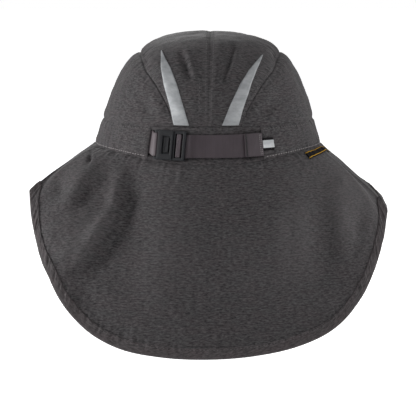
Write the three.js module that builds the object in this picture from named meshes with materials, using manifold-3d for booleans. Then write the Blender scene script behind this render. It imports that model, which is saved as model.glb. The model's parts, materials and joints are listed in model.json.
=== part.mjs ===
// A rain hat with a soft neck cape, in millimetres: +X to the wearer's right, +Y to the front, +Z up.
// The origin is the centre of the head opening, level with the seam where crown band, brim and cape meet.
// Azimuth is measured round +Z from the middle of the back, so 90 degrees is the wearer's right.
import * as THREE from "three";
import Module from "manifold-3d";

// Driving dimensions
const CLOTH = 1.5; // the wall of the crown, the band and the cape
const SEAM_GAP = 0.4; // clearance between two pieces that are sewn together
const TOUCH_GAP = 0.3; // clearance between two pieces that lie on each other
const CROWN = { halfWidth: 91.5, halfLength: 97.5, height: 96.3, profile: 2.55, plan: 2.1 };
const CROWN_LEAN = 2.4; // the soft top leans this far to the wearer's right
const BAND_TOP = 22; // height of the seam between band and crown
const RIM = { halfWidth: 97.5, halfLength: 101.5, napeDip: 8.8 };
const WING_AZIMUTH = THREE.MathUtils.degToRad(83); // where the cape ends and the brim begins
const BRIM_THICKNESS = 2.6;
const BINDING = { width: 8.5, cloth: 0.8 };
const STRAP = { width: 19.2, thickness: 0.8, height: 6.3, leftRise: 1.2, rightRise: 0.6 };
const WINDOW = { left: -49.2, right: 45.2 }; // the gap in the band that shows the strap, along X
const FLAT = { middle: -32, halfLength: 13.6, blend: 4.5 }; // the buckle holds this stretch of the strap straight

// The side seam of the crown's middle panel, from its foot at the back to the top of the side
const SIDE_SEAM = [
  { height: 22.5, halfWidth: 28 },
  { height: 37.5, halfWidth: 34.3 },
  { height: 48, halfWidth: 40 },
  { height: 58, halfWidth: 46.7 },
  { height: 68, halfWidth: 55 },
  { height: 75.5, halfWidth: 59 },
];
const SEAM_TOP_HALF_WIDTH = 61.5;

// The hem of the cape from its left wing round the back to its right wing
const HEM = [
  { across: -149.6, back: 76, height: -34 },
  { across: -147.8, back: 83, height: -54 },
  { across: -141.7, back: 92.6, height: -77.4 },
  { across: -133.4, back: 101.8, height: -98.7 },
  { across: -120.5, back: 111.8, height: -122.7 },
  { across: -100.3, back: 122.4, height: -143.4 },
  { across: -72.9, back: 131.1, height: -157.2 },
  { across: -37.6, back: 136.6, height: -163.5 },
  { across: 0, back: 138, height: -165 },
  { across: 38.4, back: 136.5, height: -162.3 },
  { across: 73.7, back: 130.9, height: -155.4 },
  { across: 102.8, back: 121.3, height: -143.2 },
  { across: 123.1, back: 110.1, height: -124.2 },
  { across: 137.4, back: 97.7, height: -99.8 },
  { across: 146, back: 86.6, height: -74.1 },
  { across: 150.3, back: 76, height: -52 },
];

// The outer edge of the brim from the right wing of the cape to the front, and back to the left wing
const BRIM_EDGE = [
  { across: 152.5, forward: -35, height: -51.5 },
  { across: 152, forward: 10, height: -49 },
  { across: 144, forward: 60, height: -44 },
  { across: 121, forward: 108, height: -37 },
  { across: 80, forward: 148, height: -29 },
  { across: 28, forward: 170, height: -24 },
  { across: -28, forward: 170, height: -23 },
  { across: -80, forward: 148, height: -26 },
  { across: -119, forward: 108, height: -33 },
  { across: -138, forward: 60, height: -37 },
  { across: -145.5, forward: 10, height: -38 },
  { across: -149, forward: -35, height: -37 },
];

// Folds and dents as seen from behind: a line from one end to the other, its half width and how far it stands out
const CAPE_FOLDS = [
  { x0: -143, z0: -33, x1: -78, z1: -17, halfWidth: 9, stand: 2.5 },
  { x0: -72, z0: -17, x1: -98, z1: -66, halfWidth: 8, stand: 4 },
  { x0: -88, z0: -20, x1: -112, z1: -42, halfWidth: 7, stand: 2.5 },
  { x0: -62, z0: -28, x1: -112, z1: -95, halfWidth: 11, stand: -5 },
  { x0: -88, z0: -96, x1: -96, z1: -140, halfWidth: 12, stand: 2 },
  { x0: 79, z0: -14, x1: 92, z1: -84, halfWidth: 14, stand: 2.5 },
  { x0: 122, z0: -38, x1: 123, z1: -62, halfWidth: 8, stand: -2.5 },
  { x0: 108, z0: -52, x1: 118, z1: -76, halfWidth: 8, stand: 2 },
];
const CROWN_DENTS = [
  { x0: -18.5, z0: 84, x1: -13, z1: 64, halfWidth: 4.5, stand: -2 },
  { x0: 19, z0: 82, x1: 12, z1: 60, halfWidth: 4.5, stand: -2.4 },
  { x0: -60, z0: 46, x1: -44, z1: 24, halfWidth: 6, stand: -2.4 },
  { x0: 58, z0: 44, x1: 40, z1: 24, halfWidth: 6, stand: -2.4 },
];
const SEAM_ROLL = { depth: 2.2, halfWidth: 5.5 }; // how the cloth dips into a seam
const SIDE_FLATTENING = 2.4; // how far the middle of a side panel lies inside the dome

// Reflective strips on the middle panel, seen from behind
const LEFT_REFLECTOR = [
  { height: 23.2, inner: -15.7, outer: -28.2 },
  { height: 40.5, inner: -21.2, outer: -33.2 },
  { height: 56.5, inner: -26.6, outer: -37.6 },
  { height: 69, inner: -32, outer: -39.8 },
  { height: 76, inner: -36.5, outer: -40.4 },
  { height: 82, inner: -40, outer: -41 },
];
const RIGHT_REFLECTOR = [
  { height: 23.2, inner: 11.5, outer: 25.2 },
  { height: 40.5, inner: 18.2, outer: 30.2 },
  { height: 56.5, inner: 25.6, outer: 35 },
  { height: 67, inner: 32.4, outer: 39.2 },
  { height: 73.5, inner: 38.4, outer: 42.4 },
  { height: 78.5, inner: 43.4, outer: 44.6 },
];
const REFLECTOR = { lift: 0.6, thickness: 0.5 };

const wasm = await Module();
wasm.setup();

const { clamp, lerp, smoothstep } = THREE.MathUtils;
const vec = (x, y, z) => new THREE.Vector3(x, y, z);
const mix = (a, b, share) => a.clone().lerp(b, share);
const count = (length, make) => Array.from({ length }, (_, index) => make(index));
const steps = (cells, from = 0, to = 1) => count(cells + 1, (i) => lerp(from, to, i / cells));
const signedPower = (value, power) => Math.sign(value) * Math.abs(value) ** power;

// A closed solid from its points and triangles. Its signed volume says whether the faces have to be turned round.
function solidGeometry(points, faces) {
  const volume = faces.reduce((sum, [a, b, c]) => sum + points[a].dot(points[b].clone().cross(points[c])), 0);
  const outward = volume < 0 ? faces.map(([a, b, c]) => [a, c, b]) : faces;
  const geometry = new THREE.BufferGeometry().setFromPoints(points);
  geometry.setIndex(outward.flat());
  geometry.computeVertexNormals();
  return geometry;
}

// Two triangles for a quad, split along its shorter diagonal
const splitQuad = (points, [a, b, c, d]) =>
  points[a].distanceTo(points[c]) <= points[b].distanceTo(points[d])
    ? [[a, b, c], [a, c, d]]
    : [[a, b, d], [b, c, d]];

// A wall between two grids of points that lie face to face, closed along its four edges
function wallGeometry(outer, inner) {
  const rows = outer.length;
  const columns = outer[0].length;
  const points = [...outer.flat(), ...inner.flat()];
  const at = (layer, i, j) => (layer * rows + i) * columns + j;
  const faces = [];
  const quad = (...corners) => faces.push(...splitQuad(points, corners));
  for (let i = 0; i + 1 < rows; i++) {
    for (let j = 0; j + 1 < columns; j++) {
      quad(at(0, i, j), at(0, i + 1, j), at(0, i + 1, j + 1), at(0, i, j + 1));
      quad(at(1, i, j), at(1, i, j + 1), at(1, i + 1, j + 1), at(1, i + 1, j));
    }
    quad(at(0, i + 1, 0), at(0, i, 0), at(1, i, 0), at(1, i + 1, 0));
    quad(at(0, i, columns - 1), at(0, i + 1, columns - 1), at(1, i + 1, columns - 1), at(1, i, columns - 1));
  }
  for (let j = 0; j + 1 < columns; j++) {
    quad(at(0, 0, j), at(0, 0, j + 1), at(1, 0, j + 1), at(1, 0, j));
    quad(at(0, rows - 1, j + 1), at(0, rows - 1, j), at(1, rows - 1, j), at(1, rows - 1, j + 1));
  }
  return solidGeometry(points, faces);
}

// A solid through a row of like sections, whose flat outline gives the two end caps
function loftGeometry(sections, outline) {
  const size = outline.length;
  const points = sections.flat();
  const last = points.length - size;
  const faces = [];
  for (let i = 0; i + 1 < sections.length; i++) {
    for (let j = 0; j < size; j++) {
      const next = (j + 1) % size;
      const corners = [i * size + j, i * size + next, (i + 1) * size + next, (i + 1) * size + j];
      faces.push(...splitQuad(points, corners));
    }
  }
  const turnsAlike = (face) =>
    THREE.ShapeUtils.area(face.map((index) => outline[index])) * THREE.ShapeUtils.area(outline) > 0;
  for (const face of THREE.ShapeUtils.triangulateShape(outline, [])) {
    const [a, b, c] = turnsAlike(face) ? face : face.toReversed();
    faces.push([a, c, b], [last + a, last + b, last + c]);
  }
  return solidGeometry(points, faces);
}

// How far a surface stands out at a point seen from behind, from a table of folds
function foldStand(folds, x, z) {
  return folds.reduce((sum, fold) => {
    const along = new THREE.Vector2(fold.x1 - fold.x0, fold.z1 - fold.z0);
    const from = new THREE.Vector2(x - fold.x0, z - fold.z0);
    const share = clamp(from.dot(along) / along.lengthSq(), 0, 1);
    const away = from.sub(along.multiplyScalar(share)).length() / fold.halfWidth;
    const taper = Math.sin(Math.PI * clamp(share, 0.12, 0.88));
    return sum + fold.stand * taper * Math.exp(-away * away);
  }, 0);
}

// The crown is a dome in every direction from the origin, so a direction gives its point straight away
function onCrown(direction) {
  const { halfWidth, halfLength, height, profile, plan } = CROWN;
  const { x, y, z } = direction;
  const flat = Math.abs(x / halfWidth) ** plan + Math.abs(y / halfLength) ** plan;
  const level = flat ** (profile / plan) + Math.abs(z / height) ** profile;
  return direction.clone().multiplyScalar(level ** (-1 / profile));
}

function crownNormal({ x, y, z }) {
  const { halfWidth, halfLength, height, profile, plan } = CROWN;
  const flat = Math.abs(x / halfWidth) ** plan + Math.abs(y / halfLength) ** plan;
  const share = Math.max(flat, 1e-9) ** (profile / plan - 1);
  return vec(
    (share * signedPower(x / halfWidth, plan - 1)) / halfWidth,
    (share * signedPower(y / halfLength, plan - 1)) / halfLength,
    (z / height) ** (profile - 1) / height,
  ).normalize();
}

// How much narrower the crown is at a height than at its foot
const crownShare = (height) => (1 - (height / CROWN.height) ** CROWN.profile) ** (1 / CROWN.profile);

// The distance behind the middle of the crown at a distance across and a height
function crownDepth(across, height) {
  const left = crownShare(height) ** CROWN.plan - Math.abs(across / CROWN.halfWidth) ** CROWN.plan;
  return CROWN.halfLength * Math.max(left, 0) ** (1 / CROWN.plan);
}

// A point of a level oval of the crown's plan
function ovalPoint(halfWidth, halfLength, azimuth, height) {
  const power = 2 / CROWN.plan;
  return vec(
    halfWidth * signedPower(Math.sin(azimuth), power),
    -halfLength * signedPower(Math.cos(azimuth), power),
    height,
  );
}

// A crown point moved out by its relief, which the band holds down at the foot, and by a further distance
function crownSkin(point, relief, stand) {
  const dents = point.y < 0 ? foldStand(CROWN_DENTS, point.x, point.z) : 0;
  const free = smoothstep(point.z, BAND_TOP + 2, BAND_TOP + 14);
  const lean = vec(CROWN_LEAN * (Math.max(point.z - BAND_TOP, 0) / CROWN.height), 0, 0);
  return point.clone().addScaledVector(crownNormal(point), (dents + relief) * free + stand).add(lean);
}

const seamRoll = (distance) => -SEAM_ROLL.depth * Math.exp(-((distance / SEAM_ROLL.halfWidth) ** 2));

// The side seam of the middle panel, over the crown from its foot at the back to its foot in front
function sideSeamCurve() {
  const back = SIDE_SEAM.map(({ height, halfWidth }) => vec(halfWidth, -crownDepth(halfWidth, height), height));
  const flat = (SEAM_TOP_HALF_WIDTH / CROWN.halfWidth) ** CROWN.profile;
  const top = vec(SEAM_TOP_HALF_WIDTH, 0, CROWN.height * (1 - flat) ** (1 / CROWN.profile));
  const front = back.map(({ x, y, z }) => vec(x, -y, z)).reverse();
  return new THREE.CatmullRomCurve3([...back, top, ...front]);
}
const sideSeam = sideSeamCurve();

// Half of the crown's middle panel, from the centre seam out to the side seam and over from back to front
function middlePanel(side) {
  const shares = [0, 0.22, 0.45, 0.68, 0.86, 1];
  const levelRows = 60; // rows below this height are level, so that the foot of the panel meets the band
  const grid = (depth) =>
    steps(28).map((along) => {
      const edge = onCrown(sideSeam.getPointAt(along));
      const flatness = clamp((levelRows - edge.z) / (levelRows - BAND_TOP), 0, 1);
      return shares.map((share) => {
        const across = lerp(SEAM_GAP / 2, edge.x - SEAM_GAP / 2, share);
        const level = Math.sign(edge.y) * crownDepth(across, edge.z);
        const point = onCrown(vec(across, lerp(edge.y, level, flatness), edge.z));
        const mirrored = vec(side * point.x, point.y, point.z);
        return crownSkin(mirrored, seamRoll(edge.x - point.x), -depth);
      });
    });
  return wallGeometry(grid(0), grid(CLOTH));
}

// A side panel of the crown: a lens between the side seam and the top of the band
function sidePanel(side) {
  const shares = [0, 0.07, 0.18, 0.34, 0.52, 0.72, 0.88, 1];
  const tip = 0.02; // the ends of the lens run out in the seam allowance
  const height = BAND_TOP + SEAM_GAP;
  const share = crownShare(height);
  const footSine = (SIDE_SEAM[0].halfWidth / (CROWN.halfWidth * share)) ** (CROWN.plan / 2);
  const foot = Math.asin(footSine);
  const grid = (depth) =>
    steps(24, tip, 1 - tip).map((along) => {
      const seam = onCrown(sideSeam.getPointAt(along));
      const azimuth = lerp(foot, Math.PI - foot, along);
      const base = ovalPoint(CROWN.halfWidth * share, CROWN.halfLength * share, azimuth, height);
      const width = seam.distanceTo(base);
      return shares.map((across) => {
        const point = onCrown(mix(seam, base, lerp(Math.min(SEAM_GAP / width, 0.4), 1, across)));
        const flattening = SIDE_FLATTENING * Math.sin(Math.PI * across) * smoothstep(width, 10, 60);
        const mirrored = vec(side * point.x, point.y, point.z);
        return crownSkin(mirrored, seamRoll(across * width) - flattening, -depth);
      });
    });
  return wallGeometry(grid(0), grid(CLOTH));
}

// The height of the seam under the band: level, with a dip at the nape
const rimHeight = (azimuth) => -RIM.napeDip * Math.max(0, Math.cos(azimuth)) ** 4;

// The outside of the band: ruled from the rim, at share 0, to the foot of the crown, at share 1
function bandPoint(azimuth, share) {
  const narrowing = crownShare(BAND_TOP);
  const rim = ovalPoint(RIM.halfWidth, RIM.halfLength, azimuth, rimHeight(azimuth));
  const top = ovalPoint(CROWN.halfWidth * narrowing, CROWN.halfLength * narrowing, azimuth, BAND_TOP);
  return mix(rim, top, share);
}

function bandNormal(azimuth, share) {
  const step = 0.01;
  const along = bandPoint(azimuth + step, share).sub(bandPoint(azimuth - step, share));
  const up = bandPoint(azimuth, share + step).sub(bandPoint(azimuth, share - step));
  return along.cross(up).normalize();
}

const bandSkin = (azimuth, share, stand) =>
  bandPoint(azimuth, share).addScaledVector(bandNormal(azimuth, share), stand);

// The azimuth of a point of the band at the back, from its distance across
function azimuthAcross(across) {
  const halfWidth = lerp(RIM.halfWidth, CROWN.halfWidth * crownShare(BAND_TOP), 0.5);
  return Math.asin(signedPower(across / halfWidth, CROWN.plan / 2));
}

// The band runs round the front from one side of the strap's window to the other
function band() {
  const [from, to] = [azimuthAcross(WINDOW.right), 2 * Math.PI + azimuthAcross(WINDOW.left)];
  const grid = (stand) =>
    steps(56, from, to).map((azimuth) => steps(2, 0.012, 0.988).map((share) => bandSkin(azimuth, share, stand)));
  return wallGeometry(grid(0), grid(-CLOTH));
}

const PANEL_DEPTH = 3.7; // the cloth behind the strap's window leaves room for two layers of webbing

// The cloth behind the strap's window. Its upper and lower edges come out to the crown and the cape.
function strapPanel() {
  const overlap = 9; // it runs on behind the ends of the band, which leaves a tunnel for the strap
  const close = CLOTH + TOUCH_GAP + 0.2;
  const rows = [
    { share: -0.05, depth: close },
    { share: 0, depth: close + 0.3 },
    { share: 0.04, depth: PANEL_DEPTH },
    { share: 0.5, depth: PANEL_DEPTH },
    { share: 0.96, depth: PANEL_DEPTH },
    { share: 1, depth: close + 0.3 },
    { share: 1.06, depth: close },
  ];
  const [from, to] = [azimuthAcross(WINDOW.left - overlap), azimuthAcross(WINDOW.right + overlap)];
  const grid = (depth) =>
    steps(16, from, to).map((azimuth) => rows.map((row) => bandSkin(azimuth, row.share, -row.depth - depth)));
  return wallGeometry(grid(0), grid(CLOTH));
}

const hemCurve = new THREE.CatmullRomCurve3(HEM.map(({ across, back, height }) => vec(across, -back, height)));

// The hem at a place from the left wing, -1, to the right wing, 1
const hemPoint = (place) => hemCurve.getPointAt((place + 1) / 2);

// The cape before its folds, from the rim, at fall 0, to the hem, at fall 1.
// Behind the head it hangs; towards the wings it first runs out over a shelf that the brim holds up.
function capeSheet(place, fall) {
  const azimuth = place * WING_AZIMUTH;
  const rim = bandPoint(azimuth, -0.012);
  const hem = hemPoint(place);
  const shelf = 0.7 * smoothstep(Math.abs(place), 0.3, 0.8);
  const straight = smoothstep(Math.abs(place), 0.86, 1);
  const out = hem.clone().sub(rim).setZ(0);
  const down = vec(0, 0, hem.z - rim.z);
  const bend = (outShare, downShare) => rim.clone().addScaledVector(out, outShare).addScaledVector(down, downShare);
  const third = 1 / 3;
  const first = bend(lerp(lerp(0.22, 0.5, shelf), third, straight), lerp(lerp(0.3, 0.25, shelf), third, straight));
  const second = bend(
    lerp(lerp(0.72, 1.02, shelf), 2 * third, straight),
    lerp(lerp(0.66, 0.5, shelf), 2 * third, straight),
  );
  return new THREE.CubicBezierCurve3(rim, first, second, hem).getPoint(fall);
}

// The outer edge of the brim, from the right wing of the cape round the front to the left wing
const brimEdge = new THREE.CatmullRomCurve3([
  hemPoint(1),
  ...BRIM_EDGE.map(({ across, forward, height }) => vec(across, forward, height)),
  hemPoint(-1),
]);

// The brim before it gets its thickness, from the right wing, at place 0, round to the left wing, at place 1
function brimSheet(place, reach) {
  const azimuth = lerp(WING_AZIMUTH, 2 * Math.PI - WING_AZIMUTH, place);
  const rim = bandPoint(azimuth, -0.012);
  const edge = brimEdge.getPointAt(place);
  const arch = 6 * smoothstep(Math.min(place, 1 - place), 0.05, 0.4);
  const middle = mix(rim, edge, 0.5).setZ((rim.z + edge.z) / 2 + arch);
  return new THREE.QuadraticBezierCurve3(rim, middle, edge).getPoint(reach);
}

// The outward normal of a sheet, whose places run from a lowest one up to 1, by small steps both ways
function sheetNormal(sheet, lowest, place, reach) {
  const step = 0.004;
  const [before, after] = [Math.max(place - step, lowest), Math.min(place + step, 1)];
  const [nearer, further] = [Math.max(reach - step, 0), Math.min(reach + step, 1)];
  const along = sheet(after, reach).sub(sheet(before, reach));
  const outward = sheet(place, further).sub(sheet(place, nearer));
  return outward.cross(along).normalize();
}
const capeNormal = (place, fall) => sheetNormal(capeSheet, -1, place, fall);
const brimNormal = (place, reach) => sheetNormal(brimSheet, 0, place, reach);

// Where cape and brim meet they share one normal, so that their cut edges lie side by side
function wingNormal(side, reach) {
  return capeNormal(side, reach).add(brimNormal(side > 0 ? 0 : 1, reach)).normalize();
}

// A point of the cape with its folds, moved out by a distance
function capeSkin(place, fall, stand) {
  const point = capeSheet(place, fall);
  const wing = smoothstep(Math.abs(place), 0.94, 1);
  const normal = mix(capeNormal(place, fall), wingNormal(place < 0 ? -1 : 1, fall), wing).normalize();
  const folds = foldStand(CAPE_FOLDS, point.x, point.z) * smoothstep(fall, 0, 0.12) * (1 - wing);
  return point.addScaledVector(normal, folds + stand);
}

function brimSkin(place, reach, stand) {
  const wing = 1 - smoothstep(Math.min(place, 1 - place), 0, 0.04);
  const normal = mix(brimNormal(place, reach), wingNormal(place < 0.5 ? 1 : -1, reach), wing).normalize();
  return brimSheet(place, reach).addScaledVector(normal, stand);
}

// The share of a sheet's reach that lies a distance in from its outer edge
function shareFromEdge(sheet, place, distance) {
  const outerFifth = sheet(place, 1).distanceTo(sheet(place, 0.8));
  return 1 - (0.2 * distance) / outerFifth;
}

const EDGE_INSET = BINDING.cloth + TOUCH_GAP; // a cut edge stops this far inside the outside of its binding

// A sheet's rows: evenly spaced from the rim to the binding, then one inside the binding
function sheetShares(sheet, place, cells) {
  const bound = shareFromEdge(sheet, place, BINDING.width);
  return [...steps(cells, 0, bound), shareFromEdge(sheet, place, EDGE_INSET)];
}

// Places along both sheets, closer together towards the wings, where the hem turns
const capePlaces = steps(56, -1, 1).map((share) => 0.998 * Math.sin(1.2 * share) / Math.sin(1.2));
const brimPlaces = steps(44, -1, 1).map((share) => 0.5 + 0.4988 * Math.sin(1.2 * share) / Math.sin(1.2));

function neckCape() {
  const grid = (depth) =>
    capePlaces.map((place) => sheetShares(capeSheet, place, 11).map((fall) => capeSkin(place, fall, -depth)));
  return wallGeometry(grid(0), grid(CLOTH));
}

function brim() {
  const grid = (depth) =>
    brimPlaces.map((place) => sheetShares(brimSheet, place, 5).map((reach) => brimSkin(place, reach, -depth)));
  return wallGeometry(grid(0), grid(BRIM_THICKNESS));
}

// A folded strip of cloth that holds the edge of a sheet between its two leaves
function binding(sheet, skin, places, thickness) {
  const [near, far] = [TOUCH_GAP, TOUCH_GAP + BINDING.cloth];
  const outline = [
    { inset: BINDING.width, stand: far },
    { inset: 0, stand: far },
    { inset: 0, stand: -thickness - far },
    { inset: BINDING.width, stand: -thickness - far },
    { inset: BINDING.width, stand: -thickness - near },
    { inset: BINDING.cloth, stand: -thickness - near },
    { inset: BINDING.cloth, stand: near },
    { inset: BINDING.width, stand: near },
  ];
  const sections = places.map((place) =>
    outline.map(({ inset, stand }) => skin(place, shareFromEdge(sheet, place, inset), stand)),
  );
  return loftGeometry(sections, outline.map(({ inset, stand }) => new THREE.Vector2(-inset, stand)));
}

// The row of a table at a height, between the two rows on either side of it
function rowAt(rows, height) {
  const above = rows.findIndex((row, i) => i > 0 && row.height >= height);
  const [low, high] = above < 0 ? rows.slice(-2) : rows.slice(above - 1, above + 1);
  const share = clamp((height - low.height) / (high.height - low.height), 0, 1);
  return Object.fromEntries(Object.keys(low).map((key) => [key, lerp(low[key], high[key], share)]));
}

// A reflective strip on the middle panel, which follows its seam roll
function reflector(rows) {
  const grid = (stand) =>
    steps(14, rows[0].height, rows.at(-1).height).map((height) => {
      const { inner, outer } = rowAt(rows, height);
      const seam = rowAt(SIDE_SEAM, height).halfWidth;
      return steps(3, inner, outer).map((across) => {
        const point = vec(across, -crownDepth(across, height), height);
        return crownSkin(point, seamRoll(seam - Math.abs(across)), stand);
      });
    });
  return wallGeometry(grid(REFLECTOR.lift + REFLECTOR.thickness), grid(REFLECTOR.lift));
}

// The middle line of the strap on the band, which rises towards both sides of its window
function strapLine(along) {
  const share = along / WINDOW.right;
  const rise = along < 0 ? STRAP.leftRise * Math.abs(share) ** 3 : STRAP.rightRise * share ** 2;
  const azimuth = azimuthAcross(along);
  const rim = rimHeight(azimuth);
  const level = (STRAP.height + rise - rim) / (BAND_TOP - rim);
  return { point: bandPoint(azimuth, level), normal: bandNormal(azimuth, level) };
}

// The strap's frame at a distance along X: X along it, Y up across it, Z off the band
function strapPlace(along) {
  const { point, normal } = strapLine(along);
  const step = 0.5;
  const run = strapLine(along + step).point.sub(strapLine(along - step).point);
  const tangent = run.projectOnPlane(normal).normalize();
  return { point, normal, tangent, up: normal.clone().cross(tangent) };
}
const buckleSeat = strapPlace(FLAT.middle);

// A point of the strap: along X, up from its middle line, and out from the face of the band.
// The buckle holds one stretch of the strap on a flat plane.
function strapPoint(along, rise, stand) {
  const flatness = 1 - smoothstep(Math.abs(along - FLAT.middle), FLAT.halfLength, FLAT.halfLength + FLAT.blend);
  const here = strapPlace(along);
  const slide = (along - FLAT.middle) / buckleSeat.tangent.x;
  const flat = buckleSeat.point.clone().addScaledVector(buckleSeat.tangent, slide);
  const normal = mix(here.normal, buckleSeat.normal, flatness).normalize();
  const up = mix(here.up, buckleSeat.up, flatness).normalize();
  return mix(here.point, flat, flatness).addScaledVector(up, rise).addScaledVector(normal, stand);
}

// A strip of webbing whose middle line is a list of points, each a place along X and a stand off the band
function webbing(line, width, lift = () => 0) {
  const cell = 6;
  const middles = line.slice(1).reduce(
    (points, [along, stand]) => {
      const from = points.at(-1);
      const to = new THREE.Vector2(along, stand);
      const cells = Math.ceil(from.distanceTo(to) / cell);
      return [...points, ...count(cells, (i) => from.clone().lerp(to, (i + 1) / cells))];
    },
    [new THREE.Vector2(...line[0])],
  );
  const offsets = middles.map((point, i) => {
    const into = point.clone().sub(middles[Math.max(i - 1, 0)]).normalize();
    const away = middles[Math.min(i + 1, middles.length - 1)].clone().sub(point).normalize();
    const run = into.clone().add(away).normalize();
    const halfTurn = run.dot(i > 0 ? into : away);
    return new THREE.Vector2(-run.y, run.x).multiplyScalar(STRAP.thickness / 2 / halfTurn);
  });
  const face = (sense) =>
    middles.map((point, i) => {
      const { x, y } = point.clone().addScaledVector(offsets[i], sense);
      return [-width / 2, width / 2].map((rise) => strapPoint(x, rise + lift(x), y));
    });
  return wallGeometry(face(1), face(-1));
}

// The ladder bar that the tail runs round, and the end bar that the stub runs round, along X and off the band
const LADDER_BAR = { from: -24.8, to: -23.2, low: -1, high: 0.9 };
const END_BAR = { from: -44.2, to: -42.9, low: -1.9, high: -0.6 };
const TURN = STRAP.thickness / 2 + TOUCH_GAP; // webbing turns round a bar at this distance

function strapTail() {
  const [under, over, end] = [-2.65, -1.55, -0.4];
  const top = LADDER_BAR.high + TURN;
  return webbing(
    [
      [WINDOW.right + 9, under],
      [LADDER_BAR.from - 0.1, under],
      [LADDER_BAR.from - TURN, under + 0.6],
      [LADDER_BAR.from - TURN, top - 0.5],
      [LADDER_BAR.from - TURN + 0.5, top],
      [LADDER_BAR.to + TURN - 0.5, top],
      [LADDER_BAR.to + TURN, top - 0.5],
      [LADDER_BAR.to + TURN, over + 0.6],
      [LADDER_BAR.to + TURN + 0.6, over],
      [26, over],
      [33, end],
      [44.2, end],
    ],
    STRAP.width,
  );
}

function strapStub() {
  const [tunnel, top] = [-2.45, END_BAR.high + TURN];
  const low = END_BAR.low - TURN;
  return webbing(
    [
      [WINDOW.left - 8, tunnel],
      [WINDOW.left + 1.2, tunnel],
      [-46.2, top - 1.1],
      [END_BAR.from - 0.2, top],
      [END_BAR.to + TURN - 0.6, top],
      [END_BAR.to + TURN, top - 0.6],
      [END_BAR.to + TURN, low + 0.6],
      [END_BAR.to + TURN - 0.6, low],
      [-45.8, low],
    ],
    STRAP.width,
    (along) => 1.8 * smoothstep(END_BAR.from - along, 0.4, 5),
  );
}

const tabLayer = 0.7; // the tab's stand off the band: it clears the band's cut edge

function strapEnd() {
  const layer = tabLayer + STRAP.thickness + TOUCH_GAP;
  return webbing([[31.2, layer - 0.9], [36, layer], [44.2, layer]], STRAP.width);
}

const pullTab = () => webbing([[37, tabLayer], [53.6, tabLayer]], 10.8);

function pullTabReflector() {
  const layer = tabLayer + STRAP.thickness + TOUCH_GAP;
  return webbing([[44.6, layer], [53.4, layer]], 6.4);
}

// A plate with rounded corners, from its ranges along X, Y and Z
function plate({ x, y, z, radius }) {
  const size = [x[1] - x[0] - 2 * radius, y[1] - y[0] - 2 * radius];
  const outline = wasm.CrossSection.square(size).translate([x[0] + radius, y[0] + radius]);
  return outline.offset(radius, "Round", 2, 16).extrude(z[1] - z[0]).translate([0, 0, z[0]]);
}

const block = ({ x, y, z }) =>
  wasm.Manifold.cube([x[1] - x[0], y[1] - y[0], z[1] - z[0]]).translate([x[0], y[0], z[0]]);

function manifoldGeometry(manifold) {
  const { vertProperties, triVerts, numProp } = manifold.getMesh();
  const geometry = new THREE.BufferGeometry();
  const positions = count(vertProperties.length / numProp, (i) => [...vertProperties.slice(i * numProp, i * numProp + 3)]);
  geometry.setAttribute("position", new THREE.Float32BufferAttribute(positions.flat(), 3));
  geometry.setIndex([...triVerts]);
  return geometry.toNonIndexed();
}

// Both halves of the buckle are drawn along X from the middle of the flat stretch, with Z off the band
const shift = (range) => range.map((along) => (along - FLAT.middle) / buckleSeat.tangent.x);
const HALF_HEIGHT = 12.1;
const RAIL_INSIDE = 10;

function buckleFemale() {
  const [low, high] = [-2.2, 3];
  const body = plate({ x: shift([-40.9, -28.4]), y: [-HALF_HEIGHT, HALF_HEIGHT], z: [low, high], radius: 1.1 });
  const pocket = block({ x: shift([-39, -28]), y: [-9.8, 9.8], z: [-1.4, 1.4] });
  const opening = plate({ x: shift([-37.1, -30.4]), y: [-7.5, 7.5], z: [1, high + 1], radius: 0.6 });
  const rails = [-1, 1].map((end) => {
    const range = [end * RAIL_INSIDE, end * HALF_HEIGHT].sort((a, b) => a - b);
    return block({ x: shift([END_BAR.from, -38]), y: range, z: [low, 0.8] });
  });
  const bar = block({
    x: shift([END_BAR.from, END_BAR.to]),
    y: [-HALF_HEIGHT, HALF_HEIGHT],
    z: [END_BAR.low, END_BAR.high],
  });
  return manifoldGeometry(rails.concat(bar).reduce((sum, piece) => sum.add(piece), body).subtract(pocket.add(opening)));
}

function buckleMale() {
  const [low, high, barLow] = [-2.2, 2, -0.8];
  const frame = plate({ x: shift([-28.1, -18.6]), y: [-HALF_HEIGHT, HALF_HEIGHT], z: [low, high], radius: 0.9 });
  const slots = block({ x: shift([-26.9, -20.6]), y: [-RAIL_INSIDE, RAIL_INSIDE], z: [low - 1, high + 1] });
  const passage = block({ x: shift([-22, -18]), y: [-RAIL_INSIDE, RAIL_INSIDE], z: [low - 1, barLow] });
  const bar = block({
    x: shift([LADDER_BAR.from, LADDER_BAR.to]),
    y: [-RAIL_INSIDE - 0.5, RAIL_INSIDE + 0.5],
    z: [LADDER_BAR.low, LADDER_BAR.high],
  });
  const tongue = block({ x: shift([-38, -27.5]), y: [-9.3, 9.3], z: [-1, 1] });
  const button = plate({ x: shift([-35.7, -31.8]), y: [-6, 6], z: [0.5, 2.5], radius: 0.5 });
  return manifoldGeometry(frame.subtract(slots.add(passage)).add(bar).add(tongue).add(button));
}

// The label hangs from the rim seam and lies on the cape, between two places and two falls
const LABEL = { from: 0.645, to: 0.955, top: 0.036, bottom: 0.108, cloth: 0.7 };

function sideLabel() {
  const grid = (stand) =>
    steps(10, LABEL.from, LABEL.to).map((place) =>
      steps(3, LABEL.top, LABEL.bottom).map((fall) => capeSkin(place, fall, stand)),
    );
  return wallGeometry(grid(2 * TOUCH_GAP + LABEL.cloth), grid(2 * TOUCH_GAP));
}

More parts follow.
